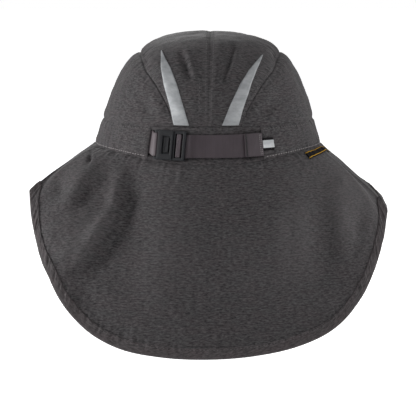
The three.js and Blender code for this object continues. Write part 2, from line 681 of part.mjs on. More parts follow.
const MATERIALS = {
  cloth: { color: "#4e4b4c", roughness: 0.95, metalness: 0 },
  binding: { color: "#4a4748", roughness: 0.95, metalness: 0 },
  webbing: { color: "#5c5254", roughness: 0.85, metalness: 0 },
  stub: { color: "#807476", roughness: 0.85, metalness: 0 },
  plastic: { color: "#343a3c", roughness: 0.5, metalness: 0 },
  reflector: { color: "#a5acac", roughness: 0.35, metalness: 0.2 },
  stripe: { color: "#cdd0d0", roughness: 0.4, metalness: 0.1 },
  black: { color: "#161516", roughness: 0.8, metalness: 0 },
};

const hat = new THREE.Group();

function addPiece(name, geometry, material, seat) {
  const mesh = new THREE.Mesh(geometry, new THREE.MeshStandardMaterial(MATERIALS[material]));
  mesh.name = name;
  if (seat) {
    mesh.position.copy(seat.point);
    mesh.quaternion.setFromRotationMatrix(new THREE.Matrix4().makeBasis(seat.tangent, seat.up, seat.normal));
  }
  hat.add(mesh);
}

for (const [name, side] of [["left", -1], ["right", 1]]) {
  addPiece(`crown_top_${name}`, middlePanel(side), "cloth");
  addPiece(`crown_side_${name}`, sidePanel(side), "cloth");
}
addPiece("head_band", band(), "cloth");
addPiece("strap_panel", strapPanel(), "cloth");
addPiece("neck_cape", neckCape(), "cloth");
addPiece("cape_binding", binding(capeSheet, capeSkin, capePlaces, CLOTH), "binding");
addPiece("brim", brim(), "cloth");
addPiece("brim_binding", binding(brimSheet, brimSkin, brimPlaces, BRIM_THICKNESS), "binding");
addPiece("reflector_left", reflector(LEFT_REFLECTOR), "reflector");
addPiece("reflector_right", reflector(RIGHT_REFLECTOR), "reflector");
addPiece("strap_stub", strapStub(), "stub");
addPiece("strap_tail", strapTail(), "webbing");
addPiece("strap_end", strapEnd(), "webbing");
addPiece("buckle_female", buckleFemale(), "plastic", buckleSeat);
addPiece("buckle_male", buckleMale(), "plastic", buckleSeat);
addPiece("pull_tab", pullTab(), "black");
addPiece("pull_tab_reflector", pullTabReflector(), "stripe");
addPiece("side_label", sideLabel(), "black");

export default hat;
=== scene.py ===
"""A soft rain hat with a neck cape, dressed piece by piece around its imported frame.

All sizes are in millimetres with +X to the wearer's right, +Y to the front and +Z up, and become metres
when a piece is made. Azimuth is measured round +Z from the middle of the back, so 90 degrees is the
wearer's right.
"""

from __future__ import annotations

import json
import logging
import math
from dataclasses import dataclass, field
from enum import Enum
from typing import Any, Callable, Iterable

import bmesh
import bpy
import numpy as np
from mathutils import Matrix, Vector

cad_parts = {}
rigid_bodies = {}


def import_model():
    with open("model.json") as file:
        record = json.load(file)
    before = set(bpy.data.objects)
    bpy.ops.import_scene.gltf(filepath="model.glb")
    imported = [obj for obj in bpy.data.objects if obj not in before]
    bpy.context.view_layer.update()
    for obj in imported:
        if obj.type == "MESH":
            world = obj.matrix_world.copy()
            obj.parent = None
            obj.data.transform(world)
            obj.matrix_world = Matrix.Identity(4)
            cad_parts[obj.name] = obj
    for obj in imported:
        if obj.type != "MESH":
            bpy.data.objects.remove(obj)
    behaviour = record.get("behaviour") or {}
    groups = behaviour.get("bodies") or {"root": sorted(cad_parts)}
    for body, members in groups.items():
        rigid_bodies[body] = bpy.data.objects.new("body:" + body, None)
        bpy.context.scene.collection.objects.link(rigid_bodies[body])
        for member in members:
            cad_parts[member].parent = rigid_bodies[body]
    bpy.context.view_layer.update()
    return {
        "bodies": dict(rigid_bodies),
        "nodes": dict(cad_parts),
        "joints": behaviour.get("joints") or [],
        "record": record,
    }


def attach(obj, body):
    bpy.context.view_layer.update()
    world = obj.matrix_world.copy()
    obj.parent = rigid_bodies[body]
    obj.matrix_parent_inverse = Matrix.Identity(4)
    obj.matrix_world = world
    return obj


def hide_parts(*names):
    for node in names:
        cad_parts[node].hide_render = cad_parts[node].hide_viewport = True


LOG = logging.getLogger("rain_hat")
MM = 0.001
FLOOR = "pale_floor"
PATTERN = "pattern"  # the UV map of every cloth and tape, in metres
WEAR_AND_PAINTED_LIGHT = "wear_and_painted_light"  # the attribute that says how rubbed a point is, from 0 to 1; on the cape it also holds painted highlights on fold crests and shoulders

Array = np.ndarray
Sheet = Callable[[Array, Array], Array]
Surface = Callable[..., Array]
Span = tuple[float, float]


def lerp(a: Any, b: Any, share: Any) -> Any:
    """Gives the value at a share of the way from a to b."""
    return a + (b - a) * share


def clamp(value: Any, low: float = 0.0, high: float = 1.0) -> Array:
    """Keeps a value between two limits."""
    return np.clip(value, low, high)


def smoothstep(value: Any, low: float, high: float) -> Array:
    """Rises smoothly from 0 to 1 between two limits."""
    t = clamp((np.asarray(value, float) - low) / (high - low))
    return t * t * (3 - 2 * t)


def signed_power(value: Any, power: float) -> Array:
    """Raises the size of a value to a power and keeps its sign."""
    return np.sign(value) * np.abs(value) ** power


def unit(vectors: Array) -> Array:
    """Scales vectors along the last axis to a length of 1."""
    return vectors / np.maximum(np.linalg.norm(vectors, axis=-1, keepdims=True), 1e-12)


def stack(x: Any, y: Any, z: Any) -> Array:
    """Joins three coordinates of one shape into points."""
    return np.stack(np.broadcast_arrays(x, y, z), axis=-1).astype(float)


def bell(distance: Any, half_width: float) -> Array:
    """Gives a smooth hump that is 1 in its middle."""
    return np.exp(-((np.asarray(distance, float) / half_width) ** 2))


def crowded(count: int, low: float = 0.0, high: float = 1.0, pull: float = 0.5) -> Array:
    """Places numbers between two limits, closer together towards both.

    Args:
        count: How many numbers.
        low: The first one.
        high: The last one.
        pull: How strongly they crowd, from 0, evenly spaced, to 1.

    Returns:
        The rising numbers.
    """
    even = np.linspace(0, 1, count)
    return low + (high - low) * lerp(even, 0.5 - 0.5 * np.cos(np.pi * even), pull)


def spread(count: int, pull: float = 1.2) -> Array:
    """Places numbers from -1 to 1, closer together towards both."""
    return np.sin(pull * np.linspace(-1, 1, count)) / math.sin(pull)


def curve(start: Array, first: Array, second: Array, end: Array, share: Array) -> Array:
    """Gives points of curves that two control points each bend.

    Args:
        start: Where each curve starts.
        first: Its first control point.
        second: Its second control point.
        end: Where it ends.
        share: How far along it, from 0 to 1.

    Returns:
        The points.
    """
    t = np.asarray(share, float)[..., None]
    s = 1 - t
    return s**3 * start + 3 * s**2 * t * first + 3 * s * t**2 * second + t**3 * end


class Course:
    """A smooth line through knots, read by its share of the length."""

    def __init__(self, knots: Iterable[Iterable[float]]) -> None:
        """Runs a centripetal spline through the knots.

        Args:
            knots: The points that the line passes through.
        """
        k = np.array(list(knots), float)
        k = np.vstack([2 * k[0] - k[1], k, 2 * k[-1] - k[-2]])
        runs = [self._segment(k[i : i + 4]) for i in range(len(k) - 3)]
        self.points = np.vstack([*runs, k[-2:-1]])
        lengths = np.linalg.norm(np.diff(self.points, axis=0), axis=1)
        self.along = np.concatenate([[0], np.cumsum(lengths)])

    @staticmethod
    def _segment(k: Array, cells: int = 160) -> Array:
        """Gives the stretch from the second knot of four up to the third.

        Args:
            k: The four knots.
            cells: How many points it has.

        Returns:
            The points, without the third knot.
        """
        d = [max(float(np.linalg.norm(k[i + 1] - k[i])) ** 0.5, 1e-4) for i in range(3)]
        start = ((k[1] - k[0]) / d[0] - (k[2] - k[0]) / (d[0] + d[1]) + (k[2] - k[1]) / d[1]) * d[1]
        end = ((k[2] - k[1]) / d[1] - (k[3] - k[1]) / (d[1] + d[2]) + (k[3] - k[2]) / d[2]) * d[1]
        t = np.linspace(0, 1, cells, endpoint=False)[:, None]
        cubic = (2 * k[1] - 2 * k[2] + start + end) * t**3
        return k[1] + start * t + (-3 * k[1] + 3 * k[2] - 2 * start - end) * t**2 + cubic

    @property
    def length(self) -> float:
        """The whole length."""
        return float(self.along[-1])

    def at(self, share: Any) -> Array:
        """Gives the points at shares of the length."""
        where = np.asarray(share, float) * self.length
        return np.stack([np.interp(where, self.along, self.points[:, i]) for i in range(3)], axis=-1)


@dataclass(frozen=True)
class Fold:
    """A fold or dent seen from behind: a line from one end to the other that stands out or lies in."""

    x0: float
    z0: float
    x1: float
    z1: float
    half_width: float
    stand: float
    ends: float = 0.12  # the share of its length after which it has its full height

    def relief(self, x: Array, z: Array) -> Array:
        """Gives how far the fold stands out.

        Args:
            x: How far across each point is.
            z: How high it is.

        Returns:
            The heights off the bare cloth.
        """
        run = np.array([self.x1 - self.x0, self.z1 - self.z0])
        share = clamp(((x - self.x0) * run[0] + (z - self.z0) * run[1]) / (run @ run))
        away = np.hypot(x - self.x0 - run[0] * share, z - self.z0 - run[1] * share)
        taper = np.sin(np.pi * clamp(share, self.ends, 1 - self.ends))
        return self.stand * taper * bell(away, self.half_width)


def fold_table(*rows: tuple[float, ...]) -> tuple[Fold, ...]:
    """Makes folds of rows with the values of a fold in their order."""
    return tuple(Fold(*row) for row in rows)


def folds_relief(folds: Iterable[Fold], x: Array, z: Array) -> Array:
    """Adds up the relief of several folds."""
    return sum((fold.relief(x, z) for fold in folds), np.zeros(np.broadcast(x, z).shape))


class Rumple:
    """Soft irregular waves of worn cloth, made of a fixed set of sine waves through space."""

    def __init__(self, seed: int, wavelength: float, spread: float = 0.45, waves: int = 14) -> None:
        """Draws the waves.

        Args:
            seed: The number that fixes the draw.
            wavelength: The usual distance between two crests.
            spread: How much the distances vary, as a share.
            waves: How many waves are added up.
        """
        draw = np.random.default_rng(seed)
        lengths = wavelength * np.exp(draw.normal(0, spread, waves))
        self.vectors = unit(draw.normal(size=(waves, 3))) * (2 * np.pi / lengths)[:, None]
        self.phases = draw.uniform(0, 2 * np.pi, waves)

    def at(self, points: Array) -> Array:
        """Gives the height of the waves at points, mostly between -1 and 1."""
        waves = np.sin(points @ self.vectors.T + self.phases)
        return waves.sum(-1) / math.sqrt(len(self.phases) / 2) * 0.6


class Pucker:
    """Small ripples that run square to a seam, unevenly spaced along it."""

    def __init__(self, seed: int, spacing: float) -> None:
        """Draws the ripples.

        Args:
            seed: The number that fixes the draw.
            spacing: The usual distance between two ripples along the seam.
        """
        draw = np.random.default_rng(seed)
        self.rates = 2 * np.pi / (spacing * np.array([0.62, 0.83, 1.0, 1.31, 1.9, 3.1]))
        self.phases = draw.uniform(0, 2 * np.pi, len(self.rates))

    def at(self, along: Array) -> Array:
        """Gives the height of the ripples at distances along the seam, mostly between -1 and 1."""
        waves = np.sin(np.asarray(along, float)[..., None] * self.rates + self.phases)
        return waves.sum(-1) / 2.6


@dataclass
class Skin:
    """Faces with the pattern coordinates of their corners, in millimetres, before they become a mesh."""

    points: Array
    quads: Array
    corners: Array
    caps: list[list[int]] = field(default_factory=list)
    wear_and_painted_light: Array | None = None

    @staticmethod
    def wall(outer: Array, inner: Array, pattern: Array, wear_and_painted_light: Array | None = None) -> Skin:
        """Makes a wall between two grids that lie face to face, closed along its four edges.

        Args:
            outer: The grid of points of the outside.
            inner: The grid of points of the inside.
            pattern: The grid of pattern coordinates.
            wear_and_painted_light: The grid of wear, and on the cape of painted highlights, for both sides.

        Returns:
            The closed skin.
        """
        rows, columns = outer.shape[:2]
        size = rows * columns
        index = np.arange(size).reshape(rows, columns)
        face = np.stack([index[:-1, :-1], index[1:, :-1], index[1:, 1:], index[:-1, 1:]], -1).reshape(-1, 4)
        border = [index[:, 0][::-1], index[-1, :][::-1], index[:, -1], index[0, :]]
        rims = [np.stack([e[:-1], e[1:], e[1:] + size, e[:-1] + size], -1) for e in border]
        quads = np.vstack([face, face[:, ::-1] + size, *rims])
        flat = pattern.reshape(-1, 2)
        rubbed = None if wear_and_painted_light is None else np.tile(wear_and_painted_light.ravel(), 2)
        points = np.vstack([outer.reshape(-1, 3), inner.reshape(-1, 3)])
        return Skin(points, quads, flat[quads % size], wear_and_painted_light=rubbed)

    @staticmethod
    def loft(sections: Array, along: Array, round_it: Array, wear_and_painted_light: Array | None = None) -> Skin:
        """Makes a closed bar through like sections.

        Args:
            sections: One ring of points for each place along the bar.
            along: The pattern coordinate along the bar, for each section or each point.
            round_it: The pattern coordinate round a section, with one more than its points.
            wear_and_painted_light: The wear of each point, and on the cape its painted highlight.

        Returns:
            The closed skin, with one cap at each end.
        """
        rows, size = sections.shape[:2]
        here = np.arange(rows * size).reshape(rows, size)
        after = np.roll(here, -1, axis=1)
        quads = np.stack([here[:-1], after[:-1], after[1:], here[1:]], -1).reshape(-1, 4)
        run = np.broadcast_to(along.reshape(rows, -1), (rows, size))
        nxt = np.roll(run, -1, axis=1)
        u = np.stack([run[:-1], nxt[:-1], nxt[1:], run[1:]], -1)
        low, high = round_it[:-1], round_it[1:]
        v = np.broadcast_to(np.stack([low, high, high, low], -1), (rows - 1, size, 4))
        corners = np.stack([u, v], -1).reshape(-1, 4, 2)
        caps = [here[0][::-1].tolist(), here[-1].tolist()]
        return Skin(sections.reshape(-1, 3), quads, corners, caps, None if wear_and_painted_light is None else wear_and_painted_light.ravel())

    @staticmethod
    def joined(skins: Iterable[Skin]) -> Skin:
        """Puts several skins into one.

        Args:
            skins: The skins.

        Returns:
            The one skin.
        """
        parts, quads, caps, start = list(skins), [], [], 0
        for skin in parts:
            quads.append(skin.quads + start)
            caps += [[i + start for i in cap] for cap in skin.caps]
            start += len(skin.points)
        rubbed = [np.zeros(len(s.points)) if s.wear_and_painted_light is None else s.wear_and_painted_light for s in parts]
        points, corners = (np.vstack([getattr(s, k) for s in parts]) for k in ("points", "corners"))
        return Skin(points, np.vstack(quads), corners, caps, np.concatenate(rubbed))

    def volume(self) -> float:
        """Adds up the signed volume.

        Returns:
            The volume, which is above 0 where the faces point outwards.
        """
        a, b, c, d = (self.points[self.quads[:, i]] for i in range(4))
        total = np.einsum("ij,ij->i", a, np.cross(b, c)) + np.einsum("ij,ij->i", a, np.cross(c, d))
        return float(total.sum() / 6)

    def make(self, name: str, finish: Finish, sharp: float = 42.0) -> bpy.types.Object:
        """Makes the object, with its place in its mesh.

        Args:
            name: The piece's name.
            finish: The finish it is dressed in.
            sharp: Edges that turn more than this many degrees stay sharp.

        Returns:
            The new object.
        """
        quads, corners, caps = self.quads, self.corners, self.caps
        if self.volume() < 0:
            quads, corners, caps = quads[:, ::-1], corners[:, ::-1], [cap[::-1] for cap in caps]
        mesh = bpy.data.meshes.new(name)
        mesh.from_pydata((self.points * MM).tolist(), [], quads.tolist() + caps)
        flat = np.zeros((len(mesh.loops), 2))
        flat[: quads.size] = corners.reshape(-1, 2) * MM
        mesh.uv_layers.new(name=PATTERN).data.foreach_set("uv", flat.ravel())
        rubbed = np.zeros(len(self.points)) if self.wear_and_painted_light is None else self.wear_and_painted_light
        mesh.attributes.new(WEAR_AND_PAINTED_LIGHT, "FLOAT", "POINT").data.foreach_set("value", rubbed)
        mesh.polygons.foreach_set("use_smooth", np.ones(len(mesh.polygons), bool))
        mesh.set_sharp_from_angle(angle=math.radians(sharp))
        mesh.validate()
        piece = bpy.data.objects.new(name, mesh)
        bpy.context.scene.collection.objects.link(piece)
        mesh.materials.append(finish.material())
        return piece


def place_piece(piece: bpy.types.Object, nodes: Iterable[str] = ()) -> bpy.types.Object:
    """Hands a finished piece to the frame.

    Args:
        piece: The object.
        nodes: The CAD nodes that it stands for.

    Returns:
        The same object.
    """
    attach(piece, "root")
    if nodes:
        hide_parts(*nodes)
    LOG.info("made %s with %d faces", piece.name, len(piece.data.polygons))
    return piece


class Signal:
    """A socket of a shader tree that takes part in Python expressions."""

    def __init__(self, tree: bpy.types.NodeTree, socket: bpy.types.NodeSocket | None) -> None:
        """Wraps a socket of a tree, or none for a node that only takes values in."""
        self.tree, self.socket = tree, socket

    def _math(self, operation: str, first: Any, second: Any = None) -> Signal:
        """Adds a Math node.

        Args:
            operation: What it does.
            first: Its first value or link.
            second: Its second value or link, if it takes two.

        Returns:
            Its result.
        """
        node = self.tree.nodes.new("ShaderNodeMath")
        node.operation = operation
        for slot, value in zip(node.inputs, (first, second)):
            if isinstance(value, Signal):
                self.tree.links.new(value.socket, slot)
            elif value is not None:
                slot.default_value = value
        return Signal(self.tree, node.outputs[0])

    def __add__(self, other: Any) -> Signal:
        """Adds."""
        return self._math("ADD", self, other)

    def __radd__(self, other: Any) -> Signal:
        """Adds from the left."""
        return self._math("ADD", other, self)

    def __sub__(self, other: Any) -> Signal:
        """Subtracts."""
        return self._math("SUBTRACT", self, other)

    def __rsub__(self, other: Any) -> Signal:
        """Subtracts from the left."""
        return self._math("SUBTRACT", other, self)

    def __mul__(self, other: Any) -> Signal:
        """Multiplies."""
        return self._math("MULTIPLY", self, other)

    def __rmul__(self, other: Any) -> Signal:
        """Multiplies from the left."""
        return self._math("MULTIPLY", other, self)

    def __lt__(self, other: Any) -> Signal:
        """Gives 1 where it is less, or else 0."""
        return self._math("LESS_THAN", self, other)

    def sine(self) -> Signal:
        """Gives the sine."""
        return self._math("SINE", self)

    def size(self) -> Signal:
        """Gives the absolute value."""
        return self._math("ABSOLUTE", self)


class Recipe:
    """The shader tree of one material."""

    def __init__(self, name: str) -> None:
        """Starts an empty material.

        Args:
            name: The material's name.
        """
        self.material = bpy.data.materials.new(name)
        self.material.use_nodes = True
        self.tree = self.material.node_tree
        self.tree.nodes.clear()

    def node(
        self,
        kind: str,
        settings: dict[str, Any] | None = None,
        inputs: dict[str | int, Any] | None = None,
        output: str | int = 0,
    ) -> Signal:
        """Adds a node.

        Args:
            kind: The node's type, without its ShaderNode.
            settings: What is set first, with the stops of a ramp as pairs of place and grey value.
            inputs: The values or links of its sockets, by name or number.
            output: The socket that is given back.

        Returns:
            The chosen output.
        """
        node = self.tree.nodes.new("ShaderNode" + kind)
        for key, value in (settings or {}).items():
            if key == "stops":
                ramp = node.color_ramp.elements
                for i, (place, grey) in enumerate(value):
                    stop = ramp[i] if i < 2 else ramp.new(place)
                    stop.position, stop.color = place, (grey, grey, grey, 1)
            else:
                setattr(node, key, value)
        for key, value in (inputs or {}).items():
            if isinstance(value, Signal):
                self.tree.links.new(value.socket, node.inputs[key])
            else:
                node.inputs[key].default_value = value
        return Signal(self.tree, node.outputs[output] if len(node.outputs) else None)

    def pattern(self, across: float, down: float) -> Signal:
        """Reads the pattern map.

        Args:
            across: How many units a metre across the cloth is.
            down: How many units a metre down it is.

        Returns:
            The scaled coordinates.
        """
        flat = self.node("UVMap", {"uv_map": PATTERN})
        return self.node("VectorMath", {"operation": "MULTIPLY"}, {0: flat, 1: (across, down, 1)})

    def axes(self) -> tuple[Signal, Signal]:
        """Gives the pattern map's two coordinates, in metres."""
        flat = self.node("UVMap", {"uv_map": PATTERN})
        return self.node("SeparateXYZ", {}, {0: flat}, 0), self.node("SeparateXYZ", {}, {0: flat}, 1)

    def noise(self, where: Signal, detail: float = 2, roughness: float = 0.5, scale: float = 1) -> Signal:
        """Adds a noise between 0 and 1."""
        sockets = {"Vector": where, "Scale": scale, "Detail": detail, "Roughness": roughness}
        return self.node("TexNoise", {"noise_dimensions": "3D"}, sockets)

    def ramp(self, value: Signal, *stops: tuple[float, float]) -> Signal:
        """Runs a value through a ramp of greys."""
        return self.node("ValToRGB", {"stops": stops}, {"Fac": value})

    def blend(self, share: Any, first: Any, second: Any, mode: str = "MIX") -> Signal:
        """Mixes two colours."""
        settings = {"data_type": "RGBA", "blend_type": mode, "clamp_factor": True}
        return self.node("Mix", settings, {0: share, 6: first, 7: second}, 2)

    def rubbed(self) -> Signal:
        """Reads how rubbed the surface is, which on the cape also means how much painted highlight it takes.
        """
        return self.node("Attribute", {"attribute_name": WEAR_AND_PAINTED_LIGHT}, output="Fac")

    def bump(self, height: Signal, distance: float, strength: float = 1.0) -> Signal:
        """Turns a height between 0 and 1 into a normal."""
        return self.node("Bump", {}, {"Height": height, "Distance": distance, "Strength": strength})

    def finish(self, **sockets: Any) -> bpy.types.Material:
        """Ends the material with a Principled shader.

        Args:
            **sockets: The shader's values or links, with an underscore for each blank.

        Returns:
            The material.
        """
        named = {key.replace("_", " "): value for key, value in sockets.items()}
        surface = self.node("BsdfPrincipled", {}, named)
        self.node("OutputMaterial", {}, {"Surface": surface})
        return self.material


def rgb(red: float, green: float, blue: float) -> tuple[float, float, float, float]:
    """Turns a display colour into the light values that a shader takes.

    Args:
        red: The display's red, from 0 to 255.
        green: Its green.
        blue: Its blue.

    Returns:
        The colour, with an alpha of 1.
    """
    values = [v / 255 for v in (red, green, blue)]
    r, g, b = (v / 12.92 if v <= 0.04045 else ((v + 0.055) / 1.055) ** 2.4 for v in values)
    return r, g, b, 1.0


@dataclass(frozen=True)
class Finish:
    """What all finishes share: a name, and one material that is made at its first use."""

    name: str

    def material(self) -> bpy.types.Material:
        """Gives the material, and makes it the first time."""
        return bpy.data.materials.get(self.name) or self.mix()

    def mix(self) -> bpy.types.Material:
        """Makes the material."""
        raise NotImplementedError


@dataclass(frozen=True)
class HeatherCloth(Finish):
    """Matt shell cloth of mixed dark and light yarns with fine level slubs."""

    dark: tuple[float, ...] = rgb(27, 26, 28)
    light: tuple[float, ...] = rgb(84, 82, 83)
    turned: bool = False  # cut on the bias, as a binding is

    def mix(self) -> bpy.types.Material:
        """Makes the material.

        Returns:
            The material.
        """
        r = Recipe(self.name)
        turn = 0.1 if self.turned else 0.0
        flat = r.node("UVMap", {"uv_map": PATTERN})
        flat = r.node("VectorRotate", {"rotation_type": "Z_AXIS"}, {"Vector": flat, "Angle": turn})

        def at(across: float, down: float, seed: float = 0.0) -> Signal:
            """Scales the cloth's coordinates."""
            grown = r.node("VectorMath", {"operation": "MULTIPLY"}, {0: flat, 1: (across, down, 1)})
            return r.node("VectorMath", {"operation": "ADD"}, {0: grown, 1: (seed, seed * 1.7, seed)})

        slub = r.ramp(r.noise(at(215, 780), 3, 0.62), (0.36, 0), (0.64, 1))
        fleck = r.ramp(r.noise(at(420, 980, 3.1), 2, 0.6), (0.36, 0), (0.64, 1))
        yarn = r.noise(at(1400, 3600, 9.2), 1, 0.5)
        cloud = r.noise(at(16, 24, 5.3), 3, 0.6)
        tone = slub * 0.5 + fleck * 0.36 + yarn * 0.1 + cloud * 0.24 - 0.1
        base = r.blend(tone, self.dark, self.light)
        tint = r.ramp(r.noise(at(70, 210, 12.4), 2, 0.5), (0.38, 0), (0.62, 1))
        base = r.blend(tint * 0.35, base, r.blend(1.0, base, (1.1, 0.95, 0.97, 1), "MULTIPLY"))
        bloom = r.ramp(r.noise(at(220, 520, 21.0), 2, 0.5), (0.66, 0), (0.74, 1))
        base = r.blend(bloom * 0.22, base, rgb(118, 114, 116))
        # Lighter where the wear attribute is high: real wear at seams and edges, and on the cape painted
        # highlights on fold crests and shoulders.
        worn = r.rubbed()
        base = r.blend(worn * 0.55, base, rgb(112, 109, 110))
        u, v = (r.node("SeparateXYZ", {}, {0: flat}, i) for i in (0, 1))
        warp = (u * (math.pi / 0.00062)).sine()
        weft = (v * (math.pi / 0.00050)).sine()
        weave = (warp * weft) * 0.5 + 0.5
        height = weave * 0.45 + slub * 0.35 + fleck * 0.2
        return r.finish(
            Base_Color=base,
            Roughness=r.noise(at(60, 120, 2.0), 2) * 0.16 + 0.78,
            Specular_IOR_Level=0.15,
            Sheen_Weight=0.22,
            Sheen_Roughness=0.35,
            Normal=r.bump(height, 0.00022, 0.55),
        )


@dataclass(frozen=True)
class WovenTape(Finish):
    """Flat webbing with fine ribs across it and darker selvedges."""

    dark: tuple[float, ...] = rgb(56, 49, 53)
    light: tuple[float, ...] = rgb(75, 67, 72)
    rib: float = 0.0011
    half_width: float = 9.6

    def mix(self) -> bpy.types.Material:
        """Makes the material.

        Returns:
            The material.
        """
        r = Recipe(self.name)
        u, v = r.axes()
        ribs = (u * (2 * math.pi / self.rib)).sine() * 0.5 + 0.5
        picks = (v * (2 * math.pi / 0.00075) + (u * (math.pi / self.rib)).sine() * 1.4).sine() * 0.5 + 0.5
        streak = r.noise(r.pattern(900, 26), 2, 0.5)
        speck = r.noise(r.pattern(1500, 1500), 2, 0.6)
        edge = r.ramp(v.size() * (1000 / self.half_width), (0.86, 0), (0.97, 1))
        cloud = r.noise(r.pattern(95, 40), 3, 0.6)
        tone = ribs * 0.22 + picks * 0.16 + streak * 0.5 + speck * 0.2 + cloud * 1.1 - 0.62
        base = r.blend(tone, self.dark, self.light)
        base = r.blend(edge * 0.35, base, self.dark)
        base = r.blend(r.rubbed() * 0.6, base, rgb(128, 118, 121))
        return r.finish(
            Base_Color=base,
            Roughness=0.62 - tone * 0.14,
            Specular_IOR_Level=0.25,
            Sheen_Weight=0.1,
            Sheen_Roughness=0.4,
            Normal=r.bump(ribs * 0.65 + picks * 0.35, 0.00016, 0.6),
        )


@dataclass(frozen=True)
class ReflectiveFilm(Finish):
    """Silver retroreflective tape with a fine beaded face, scuffed edges and painted light and shade of
    creases.
    """

    tone: tuple[float, ...] = rgb(146, 148, 150)

    def mix(self) -> bpy.types.Material:
        """Makes the material.

        Returns:
            The material.
        """
        r = Recipe(self.name)
        beads = r.node("TexVoronoi", {}, {"Vector": r.pattern(1, 1), "Scale": 2600.0})
        cloud = r.noise(r.pattern(90, 60), 3, 0.6)
        # Painted light and shade: random patches from 0.76 to 1.16 times as bright stand in for creases in
        # the film catching the light or falling into shade.
        painted_crease_light = r.ramp(r.noise(r.pattern(60, 110), 3, 0.65), (0.38, 0), (0.62, 1))
        scuff = r.ramp(r.noise(r.pattern(700, 120), 3, 0.7), (0.6, 0), (0.75, 1))
        shade = r.blend(painted_crease_light, (0.76, 0.77, 0.78, 1), (1.16, 1.16, 1.16, 1))
        base = r.blend(1.0, self.tone, shade, "MULTIPLY")
        base = r.blend(beads * 0.22, base, rgb(120, 122, 124))
        base = r.blend(scuff * 0.18, base, rgb(104, 104, 105))
        return r.finish(
            Base_Color=base,
            Metallic=0.15,
            Roughness=cloud * 0.12 + 0.52,
            Normal=r.bump(beads, 0.00006, 0.4),
        )


@dataclass(frozen=True)
class MouldedPlastic(Finish):
    """Dark moulded plastic with a fine eroded grain and edges that are rubbed a little lighter."""

    tone: tuple[float, ...] = rgb(20, 21, 24)

    def mix(self) -> bpy.types.Material:
        """Makes the material.

        Returns:
            The material.
        """
        r = Recipe(self.name)
        where = r.node("TexCoord", {}, output="Object")
        grain = r.noise(where, 2, 0.5, 3800.0)
        cloud = r.noise(where, 3, 0.6, 260.0)
        scuff = r.ramp(r.noise(where, 3, 0.7, 900.0), (0.56, 0), (0.7, 1))
        base = r.blend(cloud, self.tone, r.blend(1.0, self.tone, (1.35, 1.35, 1.35, 1), "MULTIPLY"))
        base = r.blend(r.rubbed() * (0.55 + scuff * 0.3), base, rgb(74, 77, 82))
        return r.finish(
            Base_Color=base,
            Roughness=cloud * 0.16 + scuff * 0.1 + 0.38,
            Specular_IOR_Level=0.25,
            Normal=r.bump(grain, 0.00004, 0.5),
        )


@dataclass(frozen=True)
class BlackTape(Finish):
    """Black woven tape, with a plain gold line along both edges where it has a border."""

    border: float = 0.0  # half the distance between the two gold lines, in millimetres

    def mix(self) -> bpy.types.Material:
        """Makes the material.

        Returns:
            The material.
        """
        r = Recipe(self.name)
        u, v = r.axes()
        ribs = (u * (2 * math.pi / 0.0007)).sine() * 0.5 + 0.5
        picks = (v * (2 * math.pi / 0.0006)).sine() * 0.5 + 0.5
        speck = r.noise(r.pattern(1600, 1600), 2, 0.6)
        base = r.blend(ribs * 0.3 + picks * 0.3 + speck * 0.4, rgb(9, 8, 9), rgb(26, 24, 26))
        if self.border:
            line = (v.size() * 1000 - self.border).size() < 0.55
            base = r.blend(line * (0.75 + speck * 0.25), base, rgb(196, 150, 44))
        base = r.blend(r.rubbed() * 0.5, base, rgb(70, 68, 70))
        return r.finish(
            Base_Color=base,
            Roughness=speck * 0.2 + 0.7,
            Specular_IOR_Level=0.1,
            Sheen_Weight=0.03,
            Normal=r.bump(ribs * 0.5 + picks * 0.5, 0.00012, 0.6),
        )


@dataclass(frozen=True)
class Thread(Finish):
    """Twisted sewing thread."""

    tone: tuple[float, ...] = rgb(120, 115, 116)

    def mix(self) -> bpy.types.Material:
        """Makes the material.

        Returns:
            The material.
        """
        r = Recipe(self.name)
        where = r.node("TexCoord", {}, output="Object")
        twist = r.noise(where, 2, 0.6, 2400.0)
        base = r.blend(twist, r.blend(1.0, self.tone, (0.6, 0.6, 0.6, 1), "MULTIPLY"), self.tone)
        return r.finish(Base_Color=base, Roughness=0.7 + twist * 0.15, Sheen_Weight=0.2)


class Hand(Enum):
    """A side of the hat as its wearer sees it, with its sign along X."""

    LEFT = -1
    RIGHT = 1

    @property
    def label(self) -> str:
        """The side's name in the names of pieces."""
        return self.name.lower()


CLOTH = HeatherCloth("heather_cloth")
BIAS = HeatherCloth("bias_strip", dark=rgb(40, 38, 39), light=rgb(88, 84, 85), turned=True)
WEBBING = WovenTape("strap_webbing")
STUB = WovenTape("strap_webbing_light", dark=rgb(72, 65, 68), light=rgb(101, 93, 97))
FILM = ReflectiveFilm("silver_film")
STRIPE = ReflectiveFilm("light_silver_film", tone=rgb(180, 182, 184))
PLASTIC = MouldedPlastic("dark_moulding")
TAB = BlackTape("black_tape")
LABEL = BlackTape("label_weave", border=4.4)
THREAD_LIGHT = Thread("thread_light", tone=rgb(146, 141, 141))
THREAD_DULL = Thread("thread_dull", tone=rgb(78, 75, 76))
# Near-black thread for the bartack that stands in for the shadow under the strap's folded end: a painted
# shadow.
THREAD_PAINTED_SHADOW = Thread("thread_painted_shadow", tone=rgb(24, 22, 24))


